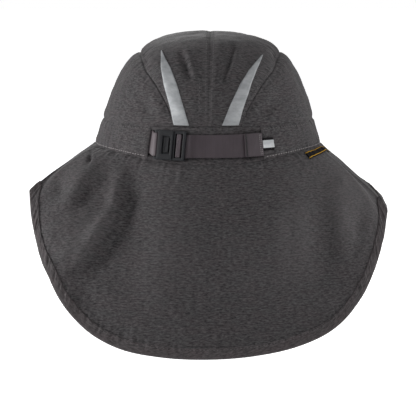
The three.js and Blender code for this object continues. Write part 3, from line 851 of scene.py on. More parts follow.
@dataclass
class StitchRow:
    """A row of stitches along a line on the cloth."""

    pitch: float = 3.0
    length: float = 2.1
    radius: float = 0.26
    sunk: float = 0.1

    def sew(self, points: Array, normals: Array) -> Skin:
        """Sews along a line.

        Args:
            points: The line on the cloth's face.
            normals: The cloth's outward direction at each point.

        Returns:
            All stitches of the row.
        """
        runs = np.linalg.norm(np.diff(points, axis=0), axis=1)
        along = np.concatenate([[0], np.cumsum(runs)])
        count = max(1, int(along[-1] / self.pitch))
        middles = (np.arange(count) + 0.5) * along[-1] / count

        def read(values: Array, where: Array) -> Array:
            """Reads values at distances along the line."""
            return np.stack([np.interp(where, along, values[:, i]) for i in range(3)], axis=-1)

        sides = 6
        ring = np.arange(sides) * np.pi / (sides / 2)
        places = np.array([-0.5, -0.28, 0.28, 0.5]) * self.length
        radii = np.array([0.35, 1.0, 1.0, 0.35]) * self.radius
        lifts = np.array([-1.0, 0.55, 0.55, -1.0]) * self.radius - self.sunk
        rows = []
        for place, radius, lift in zip(places, radii, lifts):
            centre = read(points, np.clip(middles + place, 0, along[-1]))
            out = unit(read(normals, middles))
            run = unit(read(points, np.minimum(middles + 0.6, along[-1])) - read(points, middles - 0.6))
            side = unit(np.cross(out, run))
            spoke = np.cos(ring)[None, :, None] * side[:, None] + np.sin(ring)[None, :, None] * out[:, None]
            rows.append((centre + out * lift)[:, None] + spoke * radius)
        sections = np.stack(rows, axis=1)  # stitch, place, ring
        size = sections.shape[1] * sides
        base = np.arange(size - sides).reshape(-1, sides)
        after = np.roll(base, -1, axis=1)
        one = np.stack([base, after, after + sides, base + sides], -1).reshape(-1, 4)
        starts = np.arange(count)[:, None, None] * size
        quads = (one[None] + starts).reshape(-1, 4)
        caps = []
        for i in range(count):
            first = list(range(i * size, i * size + sides))
            caps += [first[::-1], [k + size - sides for k in first]]
        return Skin(sections.reshape(-1, 3), quads, np.zeros((len(quads), 4, 2)), caps)


def sewn(skin: Callable[[float], Array], row: StitchRow) -> Skin:
    """Sews a row along a line that a surface gives.

    Args:
        skin: Gives the line at a stand off the surface.
        row: The kind of stitch.

    Returns:
        The stitches.
    """
    low, high = skin(0.0).reshape(-1, 3), skin(1.0).reshape(-1, 3)
    return row.sew(low, unit(high - low))


TOPSTITCH = StitchRow(pitch=3.1, length=2.0, radius=0.24)
RIM_STITCH = StitchRow(pitch=2.9, length=2.3, radius=0.28)
BINDING_STITCH = StitchRow(pitch=2.9, length=1.9, radius=0.22)
STRAP_STITCH = StitchRow(pitch=1.7, length=1.5, radius=0.2, sunk=0.05)
BARTACK = StitchRow(pitch=0.9, length=1.0, radius=0.34, sunk=0.05)


@dataclass
class Crown:
    """The soft dome of two middle and two side panels."""

    half_width: float = 91.5
    half_length: float = 97.5
    height: float = 96.3
    profile: float = 2.55
    plan: float = 2.1
    lean: float = 2.4
    foot: float = 22.0
    cloth: float = 1.5
    roll_depth: float = 2.2
    roll_half_width: float = 5.5
    flattening: float = 2.4
    seam_top: float = 61.5
    seam: tuple[tuple[float, float], ...] = (
        (22.5, 28.0), (37.5, 34.3), (48.0, 40.0), (58.0, 46.7), (68.0, 55.0), (75.5, 59.0),
    )  # height and half width
    dents: tuple[Fold, ...] = fold_table(
        (-23, 80, -16.5, 62, 2.8, -3.0, 0.2), (-18.5, 82, -12.5, 63, 2.4, 1.6, 0.2),
        (20, 84, 12, 60, 2.2, -3.4, 0.2), (25, 84, 18.5, 68, 3.4, 1.9, 0.2),
        (-60, 46, -44, 24, 6.0, -2.4), (-66, 50, -56, 38, 5.0, 1.0), (58, 44, 40, 24, 6.0, -2.4),
        (60, 38, 48, 26, 4.0, 0.9), (55, 82, 59, 72, 3.0, -1.6), (-54, 80, -56, 71, 3.0, -1.3),
        (-84, 51, -72, 49, 1.3, -0.6, 0.3), (-88, 31, -66, 27, 1.5, -0.8, 0.3),
        (-17, 62.5, 13, 62.5, 1.1, -1.5, 0.3), (-9, 34, 3, 34, 0.8, -0.5, 0.3),
        (-10, 60, -8, 24, 1.2, -0.35, 0.3), (34, 66, 44, 80, 5.0, 0.8), (-36, 60, -44, 78, 5.0, 0.8),
    )
    crest: Rumple = field(default_factory=lambda: Rumple(11, 46))
    ripple: Rumple = field(default_factory=lambda: Rumple(12, 17))
    pucker: Pucker = field(default_factory=lambda: Pucker(13, 6.5))

    def __post_init__(self) -> None:
        """Runs the side seam over the crown from its foot at the back to its foot in front."""
        back = [(w, -float(self.depth(w, h)), h) for h, w in self.seam]
        level = self.height * (1 - (self.seam_top / self.half_width) ** self.profile) ** (1 / self.profile)
        front = [(x, -y, z) for x, y, z in reversed(back)]
        self.side_seam = Course([*back, (self.seam_top, 0, level), *front])

    def onto(self, points: Array) -> Array:
        """Moves points along their direction from the origin onto the dome.

        Args:
            points: Points near it.

        Returns:
            The points on it.
        """
        x, y, z = np.abs(np.moveaxis(points, -1, 0))
        flat = (x / self.half_width) ** self.plan + (y / self.half_length) ** self.plan
        level = flat ** (self.profile / self.plan) + (z / self.height) ** self.profile
        return points * (level ** (-1 / self.profile))[..., None]

    def normal(self, points: Array) -> Array:
        """Gives the dome's outward direction.

        Args:
            points: Points on the dome.

        Returns:
            The directions.
        """
        x, y, z = np.moveaxis(points, -1, 0)
        flat = np.abs(x / self.half_width) ** self.plan + np.abs(y / self.half_length) ** self.plan
        share = np.maximum(flat, 1e-9) ** (self.profile / self.plan - 1)
        return unit(
            stack(
                share * signed_power(x / self.half_width, self.plan - 1) / self.half_width,
                share * signed_power(y / self.half_length, self.plan - 1) / self.half_length,
                np.maximum(z / self.height, 0) ** (self.profile - 1) / self.height,
            )
        )

    def share(self, height: Any) -> Array:
        """Says how much narrower the crown is at a height than at its foot."""
        return (1 - clamp(np.asarray(height, float) / self.height) ** self.profile) ** (1 / self.profile)

    def depth(self, across: Any, height: Any) -> Array:
        """Gives the dome's distance behind the middle.

        Args:
            across: The distances across.
            height: The heights.

        Returns:
            The distances.
        """
        taken = np.abs(np.asarray(across, float) / self.half_width) ** self.plan
        return self.half_length * np.maximum(self.share(height) ** self.plan - taken, 0) ** (1 / self.plan)

    def oval(self, half_width: float, half_length: float, azimuth: Any, height: Any) -> Array:
        """Gives points of a level oval of the crown's plan.

        Args:
            half_width: Half its width.
            half_length: Half its length.
            azimuth: Where on it.
            height: How high it lies.

        Returns:
            The points.
        """
        power = 2 / self.plan
        x = half_width * signed_power(np.sin(azimuth), power)
        return stack(x, -half_length * signed_power(np.cos(azimuth), power), height)

    def skin(self, points: Array, relief: Any, stand: Any) -> Array:
        """Moves points of the dome out by their relief and a further stand.

        Args:
            points: Points on the bare dome.
            relief: How far the cloth stands out there.
            stand: A further distance out.

        Returns:
            The points of the worn crown.
        """
        x, y, z = np.moveaxis(points, -1, 0)
        free = smoothstep(z, self.foot + 2, self.foot + 14)
        behind = smoothstep(-y, -6, 10)
        dents = folds_relief(self.dents, x, z) * behind
        worn = 0.55 * self.crest.at(points) + 0.22 * self.ripple.at(points)
        hem = -0.8 * bell(z - self.foot, 2.2)
        out = (dents + relief + worn) * free + hem + stand
        moved = points + self.normal(points) * np.asarray(out)[..., None]
        moved[..., 0] += self.lean * np.maximum(z - self.foot, 0) / self.height
        return moved

    def seam_roll(self, distance: Any, along: Any) -> Array:
        """Gives how the cloth dips into a seam and puckers beside it.

        Args:
            distance: The distance from the seam.
            along: The distance along it.

        Returns:
            How far the cloth stands out.
        """
        d = np.asarray(distance, float)
        near = smoothstep(d, 0.4, 3.0) * np.exp(-d / 6.5)
        dip = -self.roll_depth * bell(d, self.roll_half_width) - 0.9 * bell(d, 0.8)
        return dip + 0.62 * self.pucker.at(along) * near

    def centre_roll(self, across: Array, run: Array) -> Array:
        """Gives the weaker dip into the centre seam, at a distance across and one along."""
        return 0.3 * self.seam_roll(across * 1.25, run + 90)

    def middle(self, side: int, along: Array, share: Array, stand: Any) -> Array:
        """Gives points of a middle panel.

        Args:
            side: -1 for the left panel or 1 for the right one.
            along: The share of the side seam's length.
            share: How far out from the centre seam, from 0 to 1.
            stand: How far off the cloth's face.

        Returns:
            The points.
        """
        edge = self.onto(self.side_seam.at(along))
        flatness = clamp((60 - edge[..., 2]) / (60 - self.foot))
        across = lerp(-0.12, edge[..., 0] + 0.05, share)
        level = np.sign(edge[..., 1]) * self.depth(across, edge[..., 2])
        height = edge[..., 2] + 0 * across
        points = self.onto(stack(across, lerp(edge[..., 1], level, flatness), height))
        from_side = edge[..., 0] - points[..., 0]
        run = along * self.side_seam.length
        roll = self.seam_roll(from_side, run) + self.centre_roll(points[..., 0], run)
        return self.skin(points * np.array([side, 1, 1]), roll, stand)

    def side(self, side: int, along: Array, share: Array, stand: Any) -> Array:
        """Gives points of a side panel.

        Args:
            side: -1 for the left panel or 1 for the right one.
            along: The share of the side seam's length.
            share: How far down from the side seam to the band, from 0 to 1.
            stand: How far off the cloth's face.

        Returns:
            The points.
        """
        narrowing = float(self.share(self.foot))
        foot = math.asin((self.seam[0][1] / (self.half_width * narrowing)) ** (self.plan / 2))
        seam = self.onto(self.side_seam.at(along))
        azimuth = lerp(foot, math.pi - foot, along)
        base = self.oval(self.half_width * narrowing, self.half_length * narrowing, azimuth, self.foot)
        width = np.linalg.norm(seam - base, axis=-1)
        points = self.onto(lerp(seam, base, np.asarray(share)[..., None]))
        sag = self.flattening * np.sin(np.pi * share) * smoothstep(width, 10, 60)
        roll = self.seam_roll(share * width, along * self.side_seam.length + 40) - sag
        return self.skin(points * np.array([side, 1, 1]), roll, stand)

    def drape(self, height: Any) -> Array:
        """Gives the length of cloth from the foot of the dome up to a height.

        Args:
            height: The heights.

        Returns:
            The lengths.
        """
        levels = np.linspace(0, self.height * 0.999, 600)
        lengths = np.hypot(np.diff(levels), np.diff(self.half_length * self.share(levels)))
        return np.interp(height, levels, np.concatenate([[0], np.cumsum(lengths)]))

    def panel(self, name: str, surface: Surface, side: int, rows: Array, shares: Array) -> None:
        """Makes one panel.

        Args:
            name: The panel's node name.
            surface: The method that gives its points.
            side: -1 for left or 1 for right.
            rows: The shares along the side seam.
            shares: The shares across the panel.
        """
        along, share = rows[:, None], shares[None, :]
        outer = surface(side, along, share, 0.0)
        inner = surface(side, along, share, -self.cloth)
        x, y, z = np.moveaxis(outer, -1, 0)
        if surface == self.middle:
            u = np.broadcast_to(x, z.shape)
            v = np.broadcast_to(along * self.side_seam.length, z.shape)
        else:
            u = np.arctan2(x, -y) * 88
            v = self.drape(clamp(z, 0, self.height * 0.995)) + 7 * side
        rubbed = 0.25 * bell(shares * 60 - 3.5, 2.0)[None] * np.ones_like(z)
        piece = Skin.wall(outer, inner, np.stack([u, v], -1), rubbed).make(name + "_cloth", CLOTH)
        place_piece(piece, [name])

    def build(self) -> None:
        """Makes the four panels and their stitching."""
        top_rows, side_rows = crowded(250, 0.0, 1.0, 0.4), crowded(230, 0.004, 0.996, 0.4)
        for hand in Hand:
            self.panel("crown_top_" + hand.label, self.middle, hand.value, top_rows, crowded(60, pull=0.7))
            self.panel("crown_side_" + hand.label, self.side, hand.value, side_rows, crowded(64, pull=0.6))
        self.stitch()

    def behind(self, x: Any, z: Any, stand: float) -> Array:
        """Gives points of the back of the crown.

        Args:
            x: How far across they are.
            z: How high they are.
            stand: How far off the cloth's face.

        Returns:
            The points.
        """
        points = stack(x, -self.depth(x, z), z)
        edge = np.interp(z, *np.array(self.seam).T)
        across = np.abs(points[..., 0])
        roll = self.seam_roll(edge - across, 0 * across) + self.centre_roll(across, 0 * across)
        return self.skin(points, roll, stand)

    def stitch(self) -> None:
        """Sews the topstitching of the seams."""
        along = np.linspace(0.012, 0.988, 400)[:, None]
        inset = 2.6 / self.onto(self.side_seam.at(along))[..., 0]
        skins = []
        for hand in Hand:
            for share in (1 - inset, inset):
                skins.append(sewn(lambda s, k=hand.value, t=share: self.middle(k, along, t, s), TOPSTITCH))
        rise = np.linspace(24, 61, 90)
        skins.append(sewn(lambda s: self.behind(np.full_like(rise, -7.6), rise, s), TOPSTITCH))
        for height, across in ((61.2, np.linspace(-16, 12, 50)), (34.5, np.linspace(-7.6, 2, 20))):
            level = np.full_like(across, height)
            skins.append(sewn(lambda s, x=across, z=level: self.behind(x, z, s), TOPSTITCH))
        piece = Skin.joined(skins).make("crown_topstitching", THREAD_DULL, 180)
        place_piece(piece)


@dataclass
class HeadBand:
    """The band round the head, and the cloth behind the window where the strap shows."""

    crown: Crown
    half_width: float = 97.5
    half_length: float = 101.5
    nape_dip: float = 8.8
    cloth: float = 1.5
    window_left: float = -49.2
    window_right: float = 45.2
    panel_depth: float = 3.7
    tall: float = 26.0  # from the rim to the crown, along the cloth
    radius: float = 98.0  # turns azimuths into lengths round the band
    end_radius: float = 96.0  # the same at its two ends
    sewn_at: float = 0.03  # the share where brim and cape are sewn on
    tuck_depth: float = 1.6
    crest: Rumple = field(default_factory=lambda: Rumple(21, 38))
    ripple: Rumple = field(default_factory=lambda: Rumple(22, 13))
    pucker: Pucker = field(default_factory=lambda: Pucker(23, 6.0))

    def rim_height(self, azimuth: Any) -> Array:
        """Gives the height of the seam under the band: level, with a dip at the nape."""
        return -self.nape_dip * np.maximum(0, np.cos(azimuth)) ** 4

    def point(self, azimuth: Any, share: Any) -> Array:
        """Gives points of the bare outside, which is straight from the rim to the crown.

        Args:
            azimuth: Where round the head.
            share: How far up, from the rim, 0, to the foot of the crown, 1.

        Returns:
            The points.
        """
        narrowing = float(self.crown.share(self.crown.foot))
        rim = self.crown.oval(self.half_width, self.half_length, azimuth, self.rim_height(azimuth))
        width, length = self.crown.half_width * narrowing, self.crown.half_length * narrowing
        top = self.crown.oval(width, length, azimuth, self.crown.foot)
        return lerp(rim, top, np.asarray(share, float)[..., None])

    def normal(self, azimuth: Any, share: Any) -> Array:
        """Gives the band's outward direction.

        Args:
            azimuth: Where round the head.
            share: How far up.

        Returns:
            The directions.
        """
        step = 0.01
        along = self.point(azimuth + step, share) - self.point(azimuth - step, share)
        up = self.point(azimuth, share + step) - self.point(azimuth, share - step)
        return unit(np.cross(along, up))

    def skin(self, azimuth: Any, share: Any, stand: Any) -> Array:
        """Gives the bare outside moved out by a stand."""
        out = np.asarray(stand, float)[..., None]
        return self.point(azimuth, share) + self.normal(azimuth, share) * out

    def tuck(self, azimuth: Array, share: Array) -> Array:
        """Gives the step inwards of cloth sewn under the rim, at a share of its way out from there."""
        depth = self.tuck_depth * smoothstep(share, 0.05, 0.0)
        return -self.normal(azimuth, self.sewn_at + 0 * azimuth) * depth[..., None]

    def seam(self, azimuth: Array) -> Array:
        """Gives the line on which brim and cape are sewn on."""
        return self.point(azimuth, self.sewn_at + 0 * azimuth)

    def azimuth_across(self, across: Any) -> Array:
        """Gives the azimuth at the back of a distance across."""
        half = lerp(self.half_width, self.crown.half_width * float(self.crown.share(self.crown.foot)), 0.5)
        return np.arcsin(signed_power(np.asarray(across, float) / half, self.crown.plan / 2))

    def to_end(self, azimuth: Array) -> Array:
        """Gives the distance to the nearer end of the band."""
        first, last = self.ends()
        return np.minimum(azimuth - first, last - azimuth) * self.end_radius

    def worn(self, azimuth: Array, share: Array, stand: Any) -> Array:
        """Gives the worn outside, with its seams, its stitched edges and its ripples.

        Args:
            azimuth: Where round the head.
            share: How far up.
            stand: How far off the cloth's face.

        Returns:
            The points.
        """
        points = self.point(azimuth, share)
        height = share * self.tall
        to_end = self.to_end(azimuth)
        edge = smoothstep(to_end, 0, 6)
        relief = -0.9 * bell(height, 2.2) - 1.1 * bell(np.maximum(self.tall - height, 0), 2.0)
        free = edge * lerp(0.3, 1.0, smoothstep(height, 0, 5))
        relief = relief + 0.5 * self.crest.at(points) * free + 0.2 * self.ripple.at(points) * free
        near = np.exp(-height / 6) + 0.8 * np.exp(-(self.tall - height) / 6)
        relief = relief + 0.3 * self.pucker.at(azimuth * self.radius + 3 * share) * near * edge
        relief = relief + 0.45 * smoothstep(to_end, 5.2, 3.8) - 0.7 * bell(to_end, 0.6)
        return self.skin(azimuth, share, relief + stand)

    def ends(self) -> tuple[float, float]:
        """Gives the azimuths of the band's two ends, round the front from right to left."""
        right = float(self.azimuth_across(self.window_right))
        return right, 2 * math.pi + float(self.azimuth_across(self.window_left))

    def build(self) -> None:
        """Makes the band, the cloth behind the strap and the band's stitching."""
        first, last = self.ends()
        azimuth = crowded(420, first, last, 0.25)[:, None]
        share = crowded(34, -0.006, 1.035, 0.6)[None]
        outer, inner = self.worn(azimuth, share, 0.0), self.skin(azimuth, share, -self.cloth)
        pattern = np.stack(np.broadcast_arrays(azimuth * self.radius, share * 24), -1)
        rubbed = 0.3 * bell(self.to_end(azimuth), 1.4) + 0 * share
        band = Skin.wall(outer, inner, pattern, rubbed).make("head_band_cloth", CLOTH)
        place_piece(band, ["head_band"])
        self.build_panel()
        self.stitch(first, last)

    def build_panel(self) -> None:
        """Makes the cloth behind the strap's window."""
        close = self.cloth + 0.5
        fine = crowded(64, -0.05, 1.06, 0.6)
        sunk = smoothstep(fine, 0.02, 0.2) * smoothstep(1 - fine, 0.05, 0.3)
        depth = lerp(close - 1.0, self.panel_depth, sunk)
        depth = lerp(close, depth, smoothstep(fine, -0.03, 0.02) * smoothstep(1 - fine, -0.04, 0.02))
        across = np.linspace(self.window_left - 9, self.window_right + 9, 150)
        azimuth, share = self.azimuth_across(across)[:, None], fine[None]
        base = self.point(azimuth, share)
        worn = 0.16 * self.ripple.at(base) * smoothstep(share, 0.1, 0.3) * smoothstep(1 - share, 0.1, 0.3)
        outer = self.skin(azimuth, share, -depth[None] + worn)
        inner = self.skin(azimuth, share, -depth[None] - self.cloth + 0 * azimuth)
        pattern = np.stack(np.broadcast_arrays(across[:, None], share * 24), -1)
        panel = Skin.wall(outer, inner, pattern).make("strap_panel_cloth", CLOTH)
        place_piece(panel, ["strap_panel"])

    def stitch(self, first: float, last: float) -> None:
        """Sews along the band's top and foot and beside the strap's window.

        Args:
            first: The azimuth of the band's right end.
            last: The azimuth of its left end.
        """
        azimuth = np.linspace(first + 0.02, last - 0.02, 1400)
        foot = sewn(lambda s: self.worn(azimuth, np.full_like(azimuth, 0.075), s), RIM_STITCH)
        piece = foot.make("rim_stitching", THREAD_LIGHT, 180)
        place_piece(piece)
        top = sewn(lambda s: self.worn(azimuth, np.full_like(azimuth, 0.915), s), TOPSTITCH)
        up = np.linspace(0.1, 0.9, 40)
        columns = [
            sewn(lambda s, a=a: self.worn(np.full_like(up, a), up, s), TOPSTITCH)
            for a in (first + 0.026, last - 0.026)
        ]
        piece = Skin.joined([top, *columns]).make("band_topstitching", THREAD_DULL, 180)
        place_piece(piece)


def sheet_normal(sheet: Sheet, lowest: float, place: Array, reach: Array) -> Array:
    """Gives the outward direction of a sheet by small steps both ways.

    Args:
        sheet: Gives a point for a place and a reach.
        lowest: The first place.
        place: The places.
        reach: The reaches, from the rim to the edge.

    Returns:
        The directions.
    """
    step = 0.004
    before, after = np.maximum(place - step, lowest), np.minimum(place + step, 1)
    nearer, further = np.maximum(reach - step, 0), np.minimum(reach + step, 1)
    along = sheet(after, reach) - sheet(before, reach)
    return unit(np.cross(sheet(place, further) - sheet(place, nearer), along))


def share_from_edge(sheet: Sheet, place: Array, distance: Any) -> Array:
    """Gives the share of a sheet's reach at a distance from its outer edge.

    Args:
        sheet: Gives a point for a place and a reach.
        place: The places.
        distance: The distance in from the edge, measured square to it.

    Returns:
        The shares, where 1 is the edge.
    """
    outer = sheet(place, np.ones_like(place)) - sheet(place, np.full_like(place, 0.9))
    along = unit(sheet(place + 0.002, np.ones_like(place)) - sheet(place - 0.002, np.ones_like(place)))
    return 1 - 0.1 * distance / np.linalg.norm(np.cross(outer, along), axis=-1)


@dataclass
class Binding:
    """A folded strip of cloth that holds the edge of a sheet between its two leaves."""

    sheet: Sheet  # the bare sheet
    skin: Surface  # the worn sheet, which takes a stand
    thickness: float  # the sheet's
    pucker: Pucker
    run: float  # the distance along the edge for a step of 1 in its places
    width: float = 9.2
    cloth: float = 0.8
    gap: float = 0.3

    def section(self) -> Array:
        """Gives the strip's outline as pairs of inset and stand.

        Returns:
            The outline, closed, with rounded folds.
        """
        far, near, thickness = self.gap + self.cloth, self.gap, self.thickness
        half = thickness / 2 + far
        turn = np.linspace(0, np.pi, 9)
        nose = np.stack([half * 0.85 * (1 - np.sin(turn)), half * np.cos(turn) - thickness / 2], -1)
        edge = [[self.width, near + 0.15], [self.width - 0.15, far - 0.1], [self.width - 0.6, far]]
        flat = [[self.width - k, far] for k in (2.0, 3.4, 5.0, 6.3)]
        under = [[x, -thickness - z] for x, z in reversed(edge + flat)]
        inner = [[x, -thickness - near] for x in (self.width, 4.0, self.cloth + 0.6)]
        back = [[x, near] for x in (self.cloth + 0.6, 4.0, self.width)]
        return np.array([*edge, *flat, *nose.tolist(), *under, *inner, *back])

    def fold(self, places: Array) -> Skin:
        """Folds the strip over the edge of the sheet.

        Args:
            places: The places along the edge.

        Returns:
            The closed strip.
        """
        outline, run = self.section(), places * self.run
        place = places[:, None] + 0 * outline[None, :, 0]
        reach = share_from_edge(self.sheet, place, outline[None, :, 0])
        upper = outline[None, :, 1] > -self.thickness / 2
        sway = 0.1 * self.pucker.at(run)[:, None] * np.exp(-((outline[None, :, 0] - 4.5) / 4.0) ** 2)
        stand = outline[None, :, 1] + np.where(upper, sway, -sway * 0.5)
        steps = np.linalg.norm(np.diff(np.vstack([outline, outline[:1]]), axis=0), axis=1)
        wear_and_painted_light = 0.5 * bell(outline[:, 0], 1.1)[None] * (outline[None, :, 1] > -self.thickness) + 0 * place
        return Skin.loft(self.skin(place, reach, stand), run, np.concatenate([[0], np.cumsum(steps)]), wear_and_painted_light)

    def stitches(self, places: Array) -> Skin:
        """Sews the strip down on both faces.

        Args:
            places: The places along the edge.

        Returns:
            The stitches.
        """
        reach = share_from_edge(self.sheet, places, self.width - 1.5)
        sway = 0.1 * self.pucker.at(places * self.run) * np.exp(-(((self.width - 6.0) / 4.0) ** 2))
        lift = self.gap + self.cloth
        low = -self.thickness - lift - sway * 0.5
        upper = sewn(lambda s: self.skin(places, reach, lift + sway + s), BINDING_STITCH)
        lower = sewn(lambda s: self.skin(places, reach, low - s), BINDING_STITCH)
        return Skin.joined([upper, lower])

    def build(self, node: str, folded: Array, sewn_down: Array) -> tuple[bpy.types.Object, bpy.types.Object]:
        """Makes the strip and its stitching.

        Args:
            node: The strip's CAD node.
            folded: The places along the edge that the strip runs through.
            sewn_down: The places that its stitches run through.

        Returns:
            Both pieces.
        """
        strip = place_piece(self.fold(folded).make(node + "_strip", BIAS, 60), [node])
        seam = self.stitches(sewn_down).make(node + "_stitching", THREAD_DULL, 180)
        return strip, place_piece(seam)


@dataclass
class NeckCape:
    """The cape that hangs from the back and the sides of the band, and the strip that binds its hem."""

    band: HeadBand
    cloth: float = 1.5
    wing: float = math.radians(83)
    hem: tuple[tuple[float, float, float], ...] = (
        (-150.2, 68, -34.9), (-148.1, 77, -54.5), (-141.9, 88, -77.6), (-133.4, 101, -98.7),
        (-120.5, 111.8, -122.7), (-100.3, 122.4, -143.4), (-72.9, 131.1, -157.2), (-37.6, 136.6, -163.5),
        (0, 138, -165), (38.4, 136.5, -162.3), (73.7, 130.9, -155.4), (102.8, 121.3, -143.2),
        (123.1, 110.3, -124.2), (137.3, 98, -99.7), (146.1, 84.5, -74.4), (150.7, 70.5, -52.7),
    )  # across, behind and height
    folds: tuple[Fold, ...] = fold_table(
        (-143, -33, -78, -17, 9, 3.0), (-59, -22, -71, -62, 8, -6.0), (-69, -56, -104, -110, 8.5, -6.5),
        (-103, -104, -102, -134, 10, -3.0), (-73, -20, -79, -50, 6.5, 5.0),
        (-77, -44, -103, -84, 6.5, 5.5), (-93, -24, -107, -50, 5.5, -3.2),
        (-98.5, -5, -99.5, -13, 1.8, -2.6), (-120, -24, -126, -40, 6, -2.4),
        (-30, -26, -40, -140, 24, 5.0), (67, -22, 74, -96, 11, 3.6), (95, -28, 100, -100, 9, -4.0),
        (108, -34, 113, -80, 7, 3.4), (127, -46, 126, -70, 7, -3.2), (-80, -17, -92, -30, 4, -1.6),
        (-97, -18, -121, -46, 5, 2.6), (-130, -58, -112, -50, 4.5, -1.2), (-131, -74, -112, -66, 5, -1.5),
        (-128, -88, -108, -78, 5, 1.4), (-118, -104, -100, -92, 5, -1.6), (-112, -118, -96, -104, 5, 1.3),
        (-98, -132, -84, -112, 5, -1.3), (116, -61, 120, -74, 3.2, 1.6), (110, -24, 114, -28, 3.2, 1.2),
        (128, -74, 116, -86, 5, -1.3), (104, -110, 92, -130, 7, 1.3), (30, -60, 36, -130, 16, 1.6),
        (-26, -50, -30, -130, 18, -1.4), (-106, -26, -104, -112, 26, 5.5), (72, -26, 70, -120, 24, 5.0),
    )
    crest: Rumple = field(default_factory=lambda: Rumple(31, 52))
    ripple: Rumple = field(default_factory=lambda: Rumple(32, 16))
    rim_pucker: Pucker = field(default_factory=lambda: Pucker(33, 8.0))
    hem_pucker: Pucker = field(default_factory=lambda: Pucker(34, 7.0))

    def __post_init__(self) -> None:
        """Runs the hem from the left wing round the back to the right wing."""
        self.hem_line = Course((x, -y, z) for x, y, z in self.hem)

    def edge(self, place: Any) -> Array:
        """Gives the hem at places from the left wing, -1, to the right wing, 1."""
        return self.hem_line.at((np.asarray(place, float) + 1) / 2)

    @staticmethod
    def bends(rim: Array, hem: Array, skirt: Array, seam: Array) -> tuple[Array, Array]:
        """Gives the two control points of the line from a point of the rim to one of the hem.

        Args:
            rim: The point of the rim.
            hem: The point of the hem.
            skirt: How much the line first runs out over a shelf and then hangs, from 0 to 1.
            seam: How much it follows the seam with the brim, from 0 to 1.

        Returns:
            The control points.
        """
        right = (hem[..., 0] > 0)[..., None]
        points = []
        for plain, hung, left_seam, right_seam in (
            ((0.22, 0.22, 0.3), (0.42, 0.46, 0.15), (0.38, 0.5, 0.32), (0.38, 0.46, 0.42)),
            ((0.72, 0.72, 0.66), (0.93, 0.93, 0.5), (0.8, 0.9, 0.68), (0.86, 0.86, 0.62)),
        ):
            share = lerp(np.array(plain), np.array(hung), skirt[..., None])
            sewn_on = np.where(right, np.array(right_seam), np.array(left_seam))
            points.append(rim + (hem - rim) * lerp(share, sewn_on, seam[..., None]))
        return points[0], points[1]

    def sheet(self, place: Array, fall: Array) -> Array:
        """Gives the cape before its folds.

        Args:
            place: From the left wing, -1, to the right wing, 1.
            fall: From the rim, 0, to the hem, 1.

        Returns:
            The points. Behind the head they hang, and towards the wings they first run out over a shelf.
        """
        rim, hem, far = self.band.seam(place * self.wing), self.edge(place), np.abs(place)
        first, second = self.bends(rim, hem, smoothstep(far, 0.3, 0.8), smoothstep(far, 0.86, 1))
        return curve(rim, first, second, hem, fall)

    def normal(self, place: Array, fall: Array) -> Array:
        """Gives the bare cape's outward direction."""
        return sheet_normal(self.sheet, -1, place, fall)

    def skin(self, place: Array, fall: Array, stand: Any) -> Array:
        """Gives the worn cape.

        Args:
            place: From the left wing, -1, to the right wing, 1.
            fall: From the rim, 0, to the hem, 1.
            stand: How far off the cloth's face.

        Returns:
            The points.
        """
        place, fall = np.broadcast_arrays(np.asarray(place, float), np.asarray(fall, float))
        points = self.sheet(place, fall)
        wing = smoothstep(np.abs(place), 0.94, 1)
        turned = self.brim.wing_normal(np.where(place < 0, -1.0, 1.0), fall)
        normal = unit(lerp(self.normal(place, fall), turned, wing[..., None]))
        from_rim = fall * 60
        to_hem = (1 - fall) * np.linalg.norm(self.edge(place) - self.sheet(place, 0 * fall), axis=-1)
        run = place * self.hem_line.length / 2
        relief = folds_relief(self.folds, points[..., 0], points[..., 2]) * smoothstep(fall, 0, 0.12)
        relief = relief + 0.55 * self.crest.at(points) * smoothstep(fall, 0, 0.2)
        relief = relief + 0.17 * self.ripple.at(points)
        middle = smoothstep(np.abs(points[..., 0]), 62, 40)
        relief = relief + middle * (0.7 * bell(from_rim - 2.6, 1.5) - 0.75 * bell(from_rim - 4.6, 1.3))
        at_rim = np.exp(-from_rim / 5) * smoothstep(fall, 0, 0.02)
        at_hem = np.exp(-np.maximum(to_hem - 8, 0) / 8) * smoothstep(to_hem, 5, 9)
        relief = relief + 0.6 * self.rim_pucker.at(run * 0.62) * at_rim
        relief = relief + 0.75 * self.hem_pucker.at(run) * at_hem
        relief = (relief - 0.9 * bell(from_rim, 0.9)) * (1 - wing)
        return points + normal * (relief + stand)[..., None] + self.band.tuck(place * self.wing, fall)

    def build(self, brim: Brim) -> None:
        """Args:
            brim: The brim that the wings meet.
        """
        self.brim = brim
        places = (1.0006 * spread(330))[:, None]
        bound = share_from_edge(self.sheet, places, 1.3)
        fall = crowded(104, 0.0, 1.0, 0.35)[None] * bound
        outer, inner = self.skin(places, fall, 0.0), self.skin(places, fall, -self.cloth)
        flat = self.sheet(places, fall)
        steps = np.hypot(*np.moveaxis(np.diff(flat[..., :2], axis=0), -1, 0))
        u = np.vstack([np.zeros((1, fall.shape[1])), np.cumsum(steps, axis=0)])
        u = u - u[len(u) // 2]
        levels = np.array([-170.0, -35.0, 10.0])
        v = np.interp(flat[..., 2], levels, levels * np.array([1.08, 1.2, 1.3]))
        x, z = flat[..., 0], flat[..., 2]
        # Painted light: the cape's fold crests and its shoulders, the right one most, are lightened as if
        # the side lights fell on them. This is painted highlight, not wear.
        painted_fold_highlight = clamp(folds_relief(self.folds, x, z) / 24, 0, 0.26)
        painted_shoulder_light = np.where(x > 0, 0.5, 0.04) * smoothstep(np.abs(x), 62, 128) * smoothstep(z, -110, -30)
        wear_and_painted_light = clamp(painted_fold_highlight + painted_shoulder_light)
        cape = Skin.wall(outer, inner, np.stack([u, v], -1), wear_and_painted_light).make("neck_cape_cloth", CLOTH)
        place_piece(cape, ["neck_cape"])
        binding = Binding(self.sheet, self.skin, self.cloth, self.hem_pucker, self.hem_line.length / 2)
        hem, stitches = binding.build("cape_binding", spread(520), np.linspace(-0.99, 0.99, 2400))


